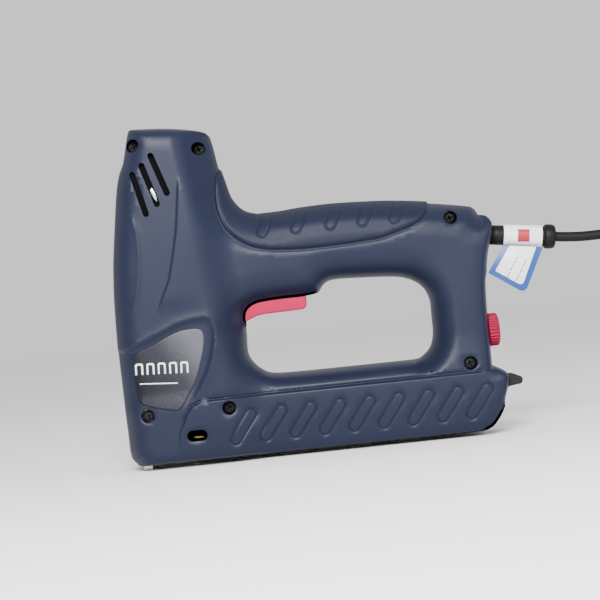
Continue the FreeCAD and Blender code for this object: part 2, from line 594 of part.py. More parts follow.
def cord_group():
    """Sleeve, clamp, the hanging cord, the coiled rest of it and the plug."""
    inner = -14.0
    sleeve = join(rod("sleeve_radius - 0.05", "34 + 8", sleeve_point(-8), SLEEVE_AXIS),
                  rod("collar_radius", "6.5", sleeve_point(31.7), SLEEVE_AXIS))
    keep("cord_sleeve", cut(sleeve, rod("cord_radius + 0.05", "200", sleeve_point(-20), SLEEVE_AXIS)))
    keep("cord_end", rod("cord_radius", f"{38.2 - inner}", sleeve_point(inner), SLEEVE_AXIS))
    cord_tube("mains_cord", ROUTE)
    middle = size("coil_centre")
    floor_z = -size("nose_drop")
    outer = rod("coil_mid_radius + coil_band", "coil_tall", Vector(middle, 0, floor_z))
    keep("cord_coil", cut(outer, rod("coil_mid_radius - coil_band", "80", Vector(middle, 0, floor_z - 5))))
    cord_tube("plug_tail", TAIL)
    clamp = box("6", "3.4", "20", 203.5, 107.2, 3.1)
    toward_left = Vector(0, -1, 0)
    for z in CLAMP_SCREWS:
        clamp = cut(clamp, rod("1.6", "20", Vector(206.5, 10, z), toward_left))
    keep("cord_clamp", clamp)
    shanks = [rod("1.5", "14", Vector(206.5, 6.5, z), toward_left) for z in CLAMP_SCREWS]
    heads = [rod("2.7", "1.8", Vector(206.5, 8.3, z), toward_left) for z in CLAMP_SCREWS]
    keep("clamp_screws", join(*shanks, *heads))



def plug():
    """A flat two-pin mains plug lying on the coil, at the end of the cord."""
    entry = Vector(*TAIL[-1])
    heading = entry - Vector(*TAIL[-2])
    turn = math.degrees(math.atan2(heading.y, heading.x))
    lie = FreeCAD.Placement(entry, FreeCAD.Rotation(Vector(0, 0, 1), turn))
    outline = trace((0, -4.5), [
        ("to", (10, -6)), ("to", (18, -16.5)), ("by", (19, -17.4), (21, -17.6)), ("to", (36, -16)),
        ("to", (36, 16)), ("to", (21, 17.6)), ("by", (19, 17.4), (18, 16.5)), ("to", (10, 6)),
        ("to", (0, 4.5)),
    ])
    body = doc.addObject("PartDesign::Body", "plug_body_solid")
    grow(body, "Pad", "plug_pad", [outline], "plug_thick", middle=True, role="XY_Plane")
    body.Placement = lie
    keep("plug_body", body)
    forward = Vector(1, 0, 0)
    side = size("pin_spacing") / 2
    pins = join(*[rod("pin_radius", "pin_long", Vector(36, y, 0), forward) for y in (-side, side)])
    pins.Placement = lie
    keep("plug_pins", pins)


def leads():
    """Insulated wires in pairs: from the cord to the board, to the switch, and to the coil."""
    pair = (Vector(0, -1.0, 0), Vector(0, 1.0, 0))
    cord_tube("coil_leads", [
        (41, 10, 142), (55, 10, 136), (72, 10, 130), (95, 10, 127), (125, 10, 127), (150, 10, 124),
        (172, 10, 115), (184, 10, 103), (190, 10, 92),
    ], "lead_radius", pair)
    cord_tube("switch_leads", [
        (94.5, 0, 120.5), (108, -2, 122), (130, -5, 121), (152, -7, 116), (168, -7.5, 107), (179, -7, 97),
        (187, -5, 90),
    ], "lead_radius", pair)
    cord_tube("supply_leads", [(206.8, 0, 116.8), (198, -2.5, 114), (190.5, -6, 107), (187, -8.5, 98)],
              "lead_radius", pair)


def tag():
    """A blank hang tag wrapped round the sleeve."""
    wrap = rod("sleeve_radius + 0.5", "23", sleeve_point(7), SLEEVE_AXIS)
    band = cut(wrap, rod("sleeve_radius - 0.04", "60", sleeve_point(-5), SLEEVE_AXIS))
    keep("tag_band", band)
    flag = trace((226.6, 107.6), [
        ("to", (216.1, 92.5)), ("to", (233.4, 80.2)), ("by", (236.4, 79.3), (238.4, 81.4)),
        ("to", (250.0, 104.4)),
    ])
    plate_body("tag_card", [flag], "0.6", size("sleeve_radius") + 0.5)


housing()
grip_pads()
name_plates()
shell_screws()
solenoid()
striker()
nose()
magazine()
trigger_group()
electronics()
cord_group()
plug()
leads()
tag()
doc.recompute()
for item in doc.Objects:
    if "Invalid" in item.State or "Error" in item.State:
        raise ValueError(f"{item.Label} is {item.State}")
for item in nodes:
    if item.Shape.isNull() or not item.Shape.isValid():
        raise ValueError(f"{item.Label} has no valid shape")
os.makedirs("parts", exist_ok=True)
for item in nodes:
    item.Shape.exportStep(f"parts/{item.Label}.step")
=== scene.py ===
import math

import bmesh
import bpy
import numpy as np
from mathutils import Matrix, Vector
from mathutils.geometry import delaunay_2d_cdt


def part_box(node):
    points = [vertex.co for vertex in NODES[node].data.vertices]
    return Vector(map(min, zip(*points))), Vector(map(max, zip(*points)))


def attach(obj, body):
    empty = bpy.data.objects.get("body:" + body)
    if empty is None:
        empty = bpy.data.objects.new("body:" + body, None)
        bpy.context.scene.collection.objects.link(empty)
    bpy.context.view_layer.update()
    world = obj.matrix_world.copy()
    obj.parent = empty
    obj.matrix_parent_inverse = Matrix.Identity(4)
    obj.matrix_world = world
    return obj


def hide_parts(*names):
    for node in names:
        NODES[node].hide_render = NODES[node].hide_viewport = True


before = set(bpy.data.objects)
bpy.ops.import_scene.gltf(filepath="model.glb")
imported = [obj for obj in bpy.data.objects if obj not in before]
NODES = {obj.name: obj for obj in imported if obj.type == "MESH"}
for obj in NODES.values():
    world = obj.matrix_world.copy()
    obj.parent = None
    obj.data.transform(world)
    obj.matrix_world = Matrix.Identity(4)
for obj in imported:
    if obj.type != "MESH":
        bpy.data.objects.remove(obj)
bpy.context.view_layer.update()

# A mains-powered staple gun. Outlines are in millimetres from the nose: x back from the nose,
# z up from the underside of the magazine. Everything built from them is in metres, in the frame.

MM = 0.001
DATUM_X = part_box("magazine_channel")[0][0] - 5.6 * MM
DATUM_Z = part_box("magazine_channel")[0][2] - 2.0 * MM


def at(x, y, z):
    """A point of the tool, given in millimetres from the nose, in the frame's metres."""
    return Vector((DATUM_X + x * MM, y * MM, DATUM_Z + z * MM))


def in_scene(name, data):
    """A new object, linked into the scene."""
    item = bpy.data.objects.new(name, data)
    bpy.context.scene.collection.objects.link(item)
    return item


def new_object(name, data, body="housing"):
    """A named piece that rides on a body."""
    item = in_scene(name, data)
    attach(item, body)
    return item


def ramp(value, low, high):
    """0 below low, 1 above high, and a soft step between."""
    share = np.clip((value - low) / (high - low), 0, 1)
    return share * share * (3 - 2 * share)


# ---------------- camera, floor and light

def make_camera():
    """A level camera facing the tool's left side, rolled as the tool was laid down."""
    distance, view_width, roll = 1.0, 0.36, math.radians(6.0)
    data = bpy.data.cameras.new("camera")
    data.sensor_width = 36.0
    data.lens = data.sensor_width * distance / view_width
    camera = in_scene("camera", data)
    camera.location = at(102.8, 0, 88.1) + Vector((0, -distance, 0))
    camera.rotation_euler = (math.radians(90), roll, 0)
    bpy.context.scene.camera = camera


# name, place in millimetres, power in watts, breadth in metres
LAMPS = [
    ("key_lamp", (20, -950, 600), 24, 0.45),
    ("side_lamp", (650, -750, 420), 3, 0.6),
]
LAMPS_FACE = at(100, 0, 90)
FLOOR_HALF = 4.0


def make_stage():
    """A wide white floor, a white surround and soft lamps above the camera."""
    mesh = bpy.data.meshes.new("floor")
    corners = [(x * FLOOR_HALF, y * FLOOR_HALF, 0) for x, y in ((-1, -1), (1, -1), (1, 1), (-1, 1))]
    mesh.from_pydata(corners, [], [(0, 1, 2, 3)])
    paint = bpy.data.materials.new("floor_paint")
    paint.use_nodes = True
    shader = paint.node_tree.nodes["Principled BSDF"]
    shader.inputs["Base Color"].default_value = (0.95, 0.95, 0.95, 1)
    shader.inputs["Roughness"].default_value = 0.9
    shader.inputs["Specular IOR Level"].default_value = 0.2
    mesh.materials.append(paint)
    in_scene("floor", mesh)

    world = bpy.data.worlds.new("surround")
    world.use_nodes = True
    background = world.node_tree.nodes["Background"]
    background.inputs["Color"].default_value = (1, 1, 1, 1)
    background.inputs["Strength"].default_value = 0.95
    bpy.context.scene.world = world

    for name, place, power, breadth in LAMPS:
        lamp = bpy.data.lights.new(name, "AREA")
        lamp.energy = power
        lamp.size = breadth
        item = in_scene(name, lamp)
        item.location = at(*place)
        item.rotation_euler = (LAMPS_FACE - item.location).to_track_quat("-Z", "Y").to_euler()


# ---------------- mains cord

ROUTE = [
    (259, 0, 109.9), (272, 0, 108.2), (290, 0.5, 108.6), (309, 0.5, 107.8),
    (327, -0.5, 104), (344, -4, 95.5), (357.5, -9.5, 82), (364.5, -15.5, 64.5),
    (363.5, -22, 46.5), (354.5, -28, 31.5), (341, -31.5, 21.5), (327, -30.5, 18.6),
]
TAIL = [(342, 39, 17), (352.8, 37.2, 18), (362.3, 32, 19.4), (369.6, 24, 20.8), (373.6, 14, 22.3)]
CORD_THICKNESS = 6.0
COIL_CENTRE = 342.0

# the radius and the layer of each turn of the coil, outward and upward
COIL_CELLS = [(27, 2), (33, 2), (33, 1), (27, 1), (27, 0), (33, 0), (39, 0), (39, 1), (39, 2)]
COIL_TURNS, STEPS_A_TURN = 8.3125, 16


def coil_points():
    """Turns of the put-away length, from under the arriving cord down and up to the plug's tail."""
    floor_z = -DATUM_Z / MM
    start = math.radians(225)
    points = []
    for step in range(int(COIL_TURNS * STEPS_A_TURN) + 1):
        turn = step / STEPS_A_TURN
        here, after = COIL_CELLS[int(turn)], COIL_CELLS[min(int(turn) + 1, len(COIL_CELLS) - 1)]
        ease = float(ramp(turn - int(turn), 0.6, 1.0))
        arriving = float(1 - ramp(turn, 0.0, 0.22))
        radius = here[0] + (after[0] - here[0]) * ease + 6.0 * arriving
        layer = here[1] + (after[1] - here[1]) * ease + float(1 - ramp(turn, 0.05, 0.3))
        height = CORD_THICKNESS * (0.5 + layer)
        angle = start - 2 * math.pi * turn
        points.append((COIL_CENTRE + radius * math.cos(angle), radius * math.sin(angle), floor_z + height))
    return points


def make_cord():
    """One smooth cord from the sleeve, through the coil, to the plug."""
    curve = bpy.data.curves.new("mains_cord_line", "CURVE")
    curve.dimensions = "3D"
    curve.bevel_depth = 1.0
    curve.bevel_resolution = 5
    curve.resolution_u = 6
    curve.use_fill_caps = True
    points = ROUTE + coil_points() + TAIL
    spline = curve.splines.new("NURBS")
    spline.points.add(len(points) - 1)
    for point, place in zip(spline.points, points):
        point.co = (*at(*place), 1.0)
        point.radius = CORD_THICKNESS / 2 * MM
    spline.order_u = 3
    spline.use_endpoint_u = True
    cord = new_object("cord", curve)
    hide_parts("mains_cord", "cord_coil", "plug_tail")
    curve.materials.append(material("cord_rubber"))
    return cord


# ---------------- materials

def link(tree, source, output, target, socket):
    """A wire from one shader node's output to another's input."""
    tree.links.new(source.outputs[output], target.inputs[socket])


def add_node(tree, kind, values):
    """A shader node with some of its inputs set."""
    node = tree.nodes.new("ShaderNode" + kind)
    for socket, value in values.items():
        node.inputs[socket].default_value = value
    return node


ROUGH_CHANGE = 0.08


def moulded(name, color, roughness, grain, depth, mottling=0.12, coat=0.0, metallic=0.0,
            stretch=(1, 1, 1), specular=0.5):
    """A moulded or machined surface: fine grain in the bump, slow mottling in colour and roughness."""
    paint = bpy.data.materials.new(name)
    paint.use_nodes = True
    tree = paint.node_tree
    shader = tree.nodes["Principled BSDF"]
    shader.inputs["Metallic"].default_value = metallic
    shader.inputs["Coat Weight"].default_value = coat
    shader.inputs["Specular IOR Level"].default_value = specular
    place = add_node(tree, "TexCoord", {})
    mapping = add_node(tree, "Mapping", {"Scale": stretch})
    link(tree, place, "Object", mapping, "Vector")
    slow = add_node(tree, "TexNoise", {"Scale": 22.0, "Detail": 3.0})
    link(tree, mapping, "Vector", slow, "Vector")
    blend = tree.nodes.new("ShaderNodeMix")
    blend.data_type = "RGBA"
    low = [max(0.0, channel * (1 - mottling)) for channel in color]
    high = [min(1.0, channel * (1 + mottling)) for channel in color]
    blend.inputs["A"].default_value = (*low, 1)
    blend.inputs["B"].default_value = (*high, 1)
    link(tree, slow, "Fac", blend, "Factor")
    link(tree, blend, "Result", shader, "Base Color")
    limits = {"To Min": max(0.02, roughness - ROUGH_CHANGE), "To Max": min(1.0, roughness + ROUGH_CHANGE)}
    spread = add_node(tree, "MapRange", limits)
    link(tree, slow, "Fac", spread, "Value")
    link(tree, spread, "Result", shader, "Roughness")
    fine = add_node(tree, "TexNoise", {"Scale": grain, "Detail": 2.0})
    link(tree, mapping, "Vector", fine, "Vector")
    bump = add_node(tree, "Bump", {"Strength": depth, "Distance": 0.0003})
    link(tree, fine, "Fac", bump, "Height")
    link(tree, bump, "Normal", shader, "Normal")
    return paint


# colour, roughness, how fine the grain is, how deep it is, and what differs from the defaults
RECIPES = {
    "housing_navy": ((0.0074, 0.0104, 0.0260), 0.40, 1500, 0.22, dict(specular=0.20)),
    "grip_navy": ((0.0070, 0.0098, 0.0240), 0.48, 2200, 0.35, dict(specular=0.17)),
    "trigger_red": ((0.36, 0.001, 0.050), 0.42, 700, 0.06, dict(specular=0.2)),
    "knob_red": ((0.24, 0.0005, 0.028), 0.42, 700, 0.06, dict(specular=0.2)),
    "cord_rubber": ((0.004, 0.004, 0.0045), 0.5, 1200, 0.15, dict(specular=0.18)),
    "black_plastic": ((0.004, 0.004, 0.005), 0.55, 1400, 0.2, dict(specular=0.15)),
    "latch_grey": ((0.0035, 0.0035, 0.005), 0.5, 1400, 0.2, dict(specular=0.25)),
    "bright_steel": ((0.62, 0.61, 0.59), 0.28, 500, 0.08, dict(metallic=1.0, stretch=(1, 1, 12))),
    "galvanised": ((0.66, 0.60, 0.48), 0.3, 600, 0.1, dict(metallic=1.0, stretch=(14, 1, 1))),
    "black_steel": ((0.006, 0.006, 0.007), 0.55, 800, 0.1, dict(specular=0.2)),
    "copper_wire": ((0.62, 0.24, 0.10), 0.3, 260, 0.8, dict(metallic=0.8, stretch=(0.05, 0.05, 10))),
    "die_cast": ((0.42, 0.42, 0.43), 0.5, 420, 0.3, dict(metallic=0.9)),
    "blued_steel": ((0.035, 0.033, 0.032), 0.45, 500, 0.1, dict(metallic=0.5, stretch=(14, 1, 1))),
    "brass": ((0.55, 0.36, 0.14), 0.3, 500, 0.05, dict(metallic=1.0)),
    "nylon": ((0.60, 0.57, 0.48), 0.5, 900, 0.1, {}),
    "board_green": ((0.02, 0.16, 0.07), 0.35, 160, 0.2, dict(coat=0.4)),
    "tag_white": ((0.80, 0.81, 0.83), 0.35, 900, 0.05, dict(mottling=0.03)),
    "tag_blue": ((0.0, 0.055, 0.24), 0.35, 900, 0.05, dict(mottling=0.05)),
    "tag_grey": ((0.12, 0.12, 0.13), 0.5, 900, 0.05, {}),
    "tag_red": ((0.33, 0.006, 0.015), 0.4, 900, 0.05, {}),
    # a near-black finish that barely reflects, for the sheets that are painted shade inside the vents and the
    # sight window
    "painted_shade_black": ((0.003, 0.003, 0.003), 0.8, 1400, 0.2, dict(specular=0.05)),
    "label_white": ((0.85, 0.86, 0.88), 0.4, 900, 0.03, dict(mottling=0.03)),
    "plated": ((0.72, 0.69, 0.62), 0.2, 500, 0.04, dict(metallic=1.0)),
}
made = {}


def material(name):
    """The named material, made once."""
    if name not in made:
        *basics, others = RECIPES[name]
        made[name] = moulded(name, *basics, **others)
    return made[name]


def dress(node, name):
    """A better material on a CAD part that keeps its shape."""
    mesh = NODES[node].data
    if not mesh.materials:
        mesh.materials.append(None)
    for index in range(len(mesh.materials)):
        mesh.materials[index] = material(name)


CAD_FINISHES = {
    "bright_steel": [
        "solenoid_frame", "plunger", "push_rod", "driver_blade", "blade_pin", "nose_plate", "blade_guide",
        "guide_strips", "magazine_rail", "spring_rod", "latch_pin", "trigger_pin", "knob_shaft", "triac",
        "switch_terminals", "blade_carrier",
    ],
    "housing_navy": ["drawer_end_cap"],
    "black_plastic": [
        "potentiometer", "microswitch", "switch_plunger", "terminal_block", "capacitor",
        "magazine_tray", "pusher", "cord_clamp",
    ],
    "cord_rubber": [
        "cord_end", "top_bumper", "bottom_bumper", "coil_leads", "switch_leads", "supply_leads",
    ],
    "black_steel": ["clamp_screws"],
    "blued_steel": ["magazine_channel"],
    "copper_wire": ["coil_winding"],
    "galvanised": ["staple_strip"],
    "die_cast": ["nose_block"],
    "board_green": ["circuit_board"],
    "nylon": ["coil_bobbin"],
    "plated": ["plug_pins"],
    "latch_grey": ["magazine_latch"],
}


def piece_from(mesh, name, finish, slot_name, body="housing", replaces=()):
    """A named piece made of one mesh in one finish."""
    mesh.materials.append(material(finish))
    piece = new_object(name, mesh, body)
    if replaces:
        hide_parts(*replaces)
    return piece


def piece_built(bm, name, *facts, **more):
    """The same, from a mesh that is still being built."""
    mesh = bpy.data.meshes.new(name)
    bm.to_mesh(mesh)
    bm.free()
    return piece_from(mesh, name, *facts, **more)


def loft(rings):
    """A closed mesh through rings of points, smooth along its sides and flat at its ends."""
    bm = bmesh.new()
    rings = [[bm.verts.new(point) for point in ring] for ring in rings]
    for low, high in zip(rings, rings[1:]):
        for index in range(len(low)):
            after = (index + 1) % len(low)
            bm.faces.new((low[index], low[after], high[after], high[index]))
    bm.faces.new(rings[0][::-1])
    bm.faces.new(rings[-1])
    bmesh.ops.recalc_face_normals(bm, faces=bm.faces)
    for face in bm.faces:
        face.smooth = len(face.verts) == 4
    return bm


# ---------------- outlines of the housing

def smooth(points, step=1.2, closed=False):
    """Points along a soft curve through the given ones, about one step apart."""
    points = [np.array(point, float) for point in points]
    count = len(points)
    path = []
    for index in range(count if closed else count - 1):
        if closed:
            a, b, c, d = (points[(index + shift) % count] for shift in (-1, 0, 1, 2))
        else:
            b, c = points[index], points[index + 1]
            a = points[index - 1] if index else b * 2 - c
            d = points[index + 2] if index + 2 < count else c * 2 - b
        pieces = max(1, int(round(np.linalg.norm(c - b) / step)))
        for part in range(pieces):
            s = part / pieces
            path.append(0.5 * (2 * b + (c - a) * s + (2 * a - 5 * b + 4 * c - d) * s ** 2
                               + (3 * b - a - 3 * c + d) * s ** 3))
    if not closed:
        path.append(points[-1])
    return np.array(path)


# Stretches of the outer outline, in order round the tool. Each has the half width of the face that
# looks outward there, how soon that face rounds over, how far the slope from there to the full width
# runs, and how round that slope is: 1 is a straight chamfer.
FRONT = [(-3.5, 1.0), (-6.2, 4.2), (-7.2, 9), (-7.4, 20), (-7.9, 39.4), (-8.2, 60.6), (-8.3, 75.7),
         (-7.5, 99.7), (-6.1, 117.7), (-4.6, 129.6), (-1.5, 150.4), (1.0, 165.2), (3.6, 174.0),
         (6.2, 179.7), (9.3, 191.5), (10.9, 197.4)]
TOP = [(10.9, 197.4), (11.7, 199.0), (13.7, 199.5), (23.9, 199.0), (35.9, 197.9), (47.7, 195.9),
       (53.6, 194.5), (57.4, 192.9), (59.3, 190.6)]
HEAD_REAR = [(59.3, 190.6), (60.5, 184.9), (62.2, 173.8), (62.7, 171.4), (64.8, 162.7), (67.3, 153.2),
             (71.8, 146.4), (76.5, 143.0), (82.4, 141.2)]
HANDLE_TOP = [(82.4, 141.2), (96.3, 141.4), (108.5, 142.3), (126.6, 142.7), (144.6, 142.0),
              (163.8, 140.6), (186.4, 137.6), (207.1, 133.9), (211.8, 132.0), (214.4, 127.8)]
POST_REAR = [(214.4, 127.8), (218.5, 126.9), (221.4, 123.2), (221.7, 120), (219.6, 111), (217.1, 102.1),
             (215.6, 92.5), (214.6, 88.5), (213.8, 76.6), (213.4, 60), (213.3, 48.9), (213.1, 37.6)]
DRAWER_REAR = [(213.1, 37.6), (221.0, 32.4), (220.3, 23.9), (215.5, 11.4), (209.4, 3.2), (204, 0.4)]
BOTTOM = [(204, 0.4), (180, 0.2), (120, 0.1), (60, 0), (19, 0), (1.5, 0), (-3.5, 1.0)]

OPEN_FRONT = [(69.2, 79), (69.0, 70.6), (68.7, 61.6), (69.9, 56.6), (73.6, 51.6), (78.0, 48.1)]
OPEN_LOW = [(78.0, 48.1), (83.3, 46.5), (98.3, 45.8), (146.6, 45.7), (167.7, 45.8), (172.1, 47.1)]
OPEN_REAR = [(172.1, 47.1), (176.0, 50.3), (178.6, 54.6), (180, 61), (180.1, 71), (180.2, 78.2),
             (179.4, 82.5), (177.5, 86.9), (174.2, 90.6), (169.7, 93.5)]
OPEN_TOP = [(169.7, 93.5), (163.9, 95.4), (154.9, 96.6), (140, 97.6), (128, 98.2), (121.9, 97.8),
            (118.6, 96.4), (116.5, 94.3), (115.0, 92.2), (113, 91.1), (106, 90.2), (90.9, 90.0),
            (80, 89.4), (75.1, 88.3), (71.8, 86.4), (69.8, 83.4), (69.2, 79)]

# These lie on the side, at its half width there, and were laid out as if on the split plane of a
# view from 1 m away, so they are drawn in a little towards that view's centre.

def on_side(points, half):
    """Points of the side face, at a half width, from where they seem to lie on the split plane."""
    share = 1 - half / 1000
    return [(102.8 + (x - 102.8) * share, 88.1 + (z - 88.1) * share) for x, z in points]


SCREW_PLACES = (on_side([(11.9, 190.9), (50.9, 185.9), (4.8, 28.2)], 26)
                + on_side([(198.1, 128.2), (200.6, 39.9), (54.3, 28.7)], 19))
SCREW_RADIUS, SCREW_SINK = 4.0, 3.2
VENTS = [on_side(vent, 27) for vent in (((10.4, 173.3), (16.3, 149.1)), ((16.6, 178.0), (23.5, 154.4)),
                                        ((22.6, 183.4), (30.1, 160.3)))]
VENT_RADIUS = 1.8
WINDOW = on_side([(30.8, 14.0), (36.2, 14.0)], 22)
WINDOW_RADIUS = 3.3
FIRST_RIB = on_side([(56.2, 9.2), (67.0, 23.4)], 22)
RIB_PITCH, RIB_COUNT, RIB_RADIUS = 17.4, 9, 3.0
RIBS = [[(x + index * RIB_PITCH, z) for x, z in FIRST_RIB] for index in range(RIB_COUNT)]

# The grip pad's edge, then the name plate and the lip of the recess that it lies in.
PAD_EDGE = ([(62.7, 171.4)]
            + on_side([(60.7, 169.8), (59.3, 162.1), (58.9, 153.1), (59.9, 145.1), (62.7, 137), (66.3, 131.8),
                       (70.7, 127.7), (76.4, 124.1), (82.2, 122), (91.1, 120.1), (106, 118.9), (118.1, 118.8),
                       (130.2, 119), (142.3, 119.6), (154.4, 120.4), (163.7, 122.8), (173.1, 125.7),
                       (179.5, 128.9), (182.8, 132.2)], 18)
            + [(185.4, 137.9)])
PLATE_EDGE = on_side([(-0.9, 50.8), (-0.8, 59.9), (-0.2, 65.4), (10.3, 69.6), (19.8, 73.9), (29.2, 77.1),
                      (38.3, 77.6), (42.3, 76.0), (43.1, 71.5), (41.8, 64.4), (39.0, 55.6), (35.7, 46.9),
                      (31.3, 39.5), (27.7, 33.9), (24.9, 30.6), (23.0, 29.7), (15.3, 31.0), (6.6, 33.7),
                      (1.2, 36.2), (-0.6, 41.7)], 26)
RECESS_EDGE = on_side([(-20, 66), (-4, 69.4), (8, 73.2), (18, 77.6), (26, 80.8), (34, 83.1), (43.8, 83.7),
                       (47.6, 82.6), (49.3, 79), (49.9, 72.6), (48.3, 63.7), (44.1, 52.1), (37.5, 40.7),
                       (32.5, 34.0), (28.1, 26.6), (25.5, 20), (12, 25), (-4, 29.5), (-20, 30)], 26)
PANEL_EDGE = on_side([(20, -30), (21, 4), (22.9, 16.9), (28, 26.6), (31.5, 31.6), (36.7, 33.9), (42.8, 34.5),
                      (120, 34.5), (206, 34.4), (240, 34.4), (240, -30)], 21)
CREASE_FRONT = on_side([(6.7, 149.5), (9.6, 137.2), (9.5, 125.1), (8.3, 113.2), (5.8, 101.4),
                        (2.2, 89.7)], 27)
CREASE_REAR = on_side([(37.5, 167.4), (35.0, 149.6), (33.2, 137.7), (29.8, 123.0), (25.9, 108.3),
                       (20.4, 96.8), (16.5, 88.2)], 28)

# Half widths of the body in the three zones, and how softly its slopes blend into each other.
HEAD_HALF, HANDLE_HALF, BASE_HALF = 28.0, 19.0, 21.5
SOFTNESS = 1.1


# ---------------- distances and profiles

def distance_to(path, points, closed=False):
    """Shortest distance from each point to a path, and which segment of the path is nearest."""
    path = np.asarray(path, float)
    if closed:
        path = np.vstack([path, path[:1]])
    best = np.full(len(points), 1e9)
    nearest = np.zeros(len(points), int)
    for index in range(len(path) - 1):
        start, run = path[index], path[index + 1] - path[index]
        span = float(run @ run)
        if span < 1e-12:
            continue
        share = np.clip(((points - start) @ run) / span, 0, 1)
        away = np.linalg.norm(points - start - share[:, None] * run, axis=1)
        closer = away < best
        best[closer] = away[closer]
        nearest[closer] = index
    return best, nearest


def inside(loop, points):
    """Which points lie inside a closed loop."""
    loop = np.asarray(loop, float)
    x, z = points[:, 0], points[:, 1]
    result = np.zeros(len(points), bool)
    for (x0, z0), (x1, z1) in zip(loop, np.roll(loop, -1, axis=0)):
        crosses = (z0 > z) != (z1 > z)
        if z1 == z0:
            continue
        result ^= crosses & (x < (x1 - x0) * (z - z0) / (z1 - z0) + x0)
    return result


def signed(path, points):
    """Signed distance from an open path: positive on its left as it runs."""
    path = np.asarray(path, float)
    away, nearest = distance_to(path, points)
    run = path[nearest + 1] - path[nearest]
    toward = points - path[nearest]
    side = run[:, 0] * toward[:, 1] - run[:, 1] * toward[:, 0]
    return np.where(side >= 0, away, -away)


def slot_distance(start, end, radius, points):
    """Distance outside a slot with round ends, negative inside it."""
    away, _ = distance_to([start, end], points)
    return away - radius


OUTER = [
    (FRONT, 14.0, 1.6, 12.0, 1.7), (TOP, 17.0, 3.0, 9.0, 2.0), (HEAD_REAR, 6.0, 5.0, 22.0, 2.0),
    (HANDLE_TOP, 3.0, 5.0, 17.0, 2.2), (POST_REAR, 9.5, 3.0, 6.0, 2.2), (DRAWER_REAR, 14.0, 1.5, 4.0, 1.6),
    (BOTTOM, 18.2, 0.4, 2.6, 2.0),
]
INNER = [
    (OPEN_FRONT, 10.0, 3.0, 11.0, 2.2), (OPEN_LOW, 9.0, 3.0, 9.0, 1.8), (OPEN_REAR, 7.0, 4.0, 10.8, 1.15),
    (OPEN_TOP, 6.5, 4.0, 15.0, 2.0),
]


def chain(stretches, step=1.2):
    """One closed loop through all stretches, and each point's stretch."""
    points, owner = [], []
    for index, stretch in enumerate(stretches):
        path = smooth(stretch[0], step)[:-1]
        points.extend(path)
        owner.extend([index] * len(path))
    return np.array(points), np.array(owner)


def half_width(points):
    """How far the body reaches from the split plane, before its edges are rounded."""
    x, z = points[:, 0], points[:, 1]
    rearward = ramp(x + 0.10 * (z - 120), 44, 68)
    body = HANDLE_HALF + (BASE_HALF - HANDLE_HALF) * (1 - ramp(z, 30, 62))
    wide = body + (HEAD_HALF - body) * (1 - rearward)
    grip = ramp(x, 60, 90) * (1 - ramp(x, 175, 205)) * ramp(z, 100, 125)
    return wide + 0.8 * grip


def lean(distance, edge, rounding, slope, roundness, full):
    """The side's height at a distance from an edge: round at the edge, then a slope to full width."""
    lip = edge * np.sqrt(np.clip(1 - (1 - np.clip(distance / rounding, 0, 1)) ** 2, 0, 1))
    rise = (full - edge) * (1 - (1 - np.clip(distance / slope, 0, 1)) ** roundness)
    return lip + np.maximum(rise, 0)


def skin(points, features=True):
    """Height of the housing's side over the split plane at each point, in millimetres."""
    full = half_width(points)
    heights = []
    for stretches in (OUTER, INNER):
        for path, edge, rounding, slope, roundness in stretches:
            away, _ = distance_to(smooth(path, 2.0), points)
            side = lean(away, np.minimum(edge, full), rounding, slope, roundness, full)
            heights.append(side + 8 * ramp(away, 0.85 * slope, slope + 8))
    stack = np.array(heights + [full])
    lowest = stack.min(axis=0)
    height = lowest - SOFTNESS * np.log(np.exp(-(stack - lowest) / SOFTNESS).sum(axis=0))
    height = np.maximum(height, 0.0)
    if not features:
        return height
    x, z = points[:, 0], points[:, 1]
    rear = signed(CREASE_REAR, points)
    fade = ramp(z, 88, 98) * (1 - ramp(z, 158, 168))
    height = height + fade * 1.1 * ramp(rear, -0.7, 0.5) * (1 - ramp(rear, 3, 26))
    front = signed(CREASE_FRONT, points)
    height = height + 0.5 * np.exp(-(front / 1.2) ** 2) * ramp(z, 88, 100) * (1 - ramp(z, 140, 150))
    panel = inside(PANEL_EDGE, points)
    reach, _ = distance_to(PANEL_EDGE[1:-2], points)
    proud = np.where(panel, ramp(reach, 0, 1.2), 0.0)
    height = height + 1.3 * proud * ramp(z, 2, 24)
    groove = np.where(panel, 0, 1 - ramp(reach, 0.3, 1.2)) * ramp(z, 20, 30)
    height = height - 0.8 * groove
    for start, end in RIBS:
        edge = slot_distance(start, end, RIB_RADIUS, points)
        outline = ramp(edge, -0.5, 0.0) * (1 - ramp(edge, 0.25, 0.9))
        height = height + 0.45 * (1 - ramp(edge, -0.6, 0.0)) - 0.6 * outline
    recess = inside(RECESS_LOOP, points)
    rim, _ = distance_to(RECESS_LOOP, points)
    sunk = np.where(recess, ramp(rim, 0, 2.4), 0.0)
    height = height - 1.5 * sunk * ramp(z, 30, 44)
    lip = 1 - ramp(rim, 0.6, 4.0)
    height = height + np.where(recess, 0, 0.4 * lip * ramp(z, 30, 44))
    pad = inside(PAD_LOOP, points)
    border, _ = distance_to(PAD_EDGE_LINE, points)
    height = height - 0.7 * (1 - ramp(border, 0.25, 1.0))
    height = height - np.where(pad, 0, 0.35 * (1 - ramp(np.abs(border - 1.9), 0.1, 0.5)))
    height = height - np.where(pad, 1.0 * ramp(border, 0.6, 1.6), 0)
    for place in SCREW_PLACES:
        ring = np.hypot(x - place[0], z - place[1])
        height = height - 0.5 * (1 - ramp(ring, SCREW_RADIUS, SCREW_RADIUS + 0.9))
    height = height - 0.5 * (1 - ramp(slot_distance(*WINDOW, WINDOW_RADIUS, points), 0, 0.9))
    return np.maximum(height, 0.0)


RECESS_LOOP = smooth(RECESS_EDGE, 2, closed=True)
PAD_EDGE_LINE = smooth(PAD_EDGE, 1.5)
PAD_LOOP = np.vstack([PAD_EDGE_LINE, [(185.4, 160), (120, 160), (70, 175)]])

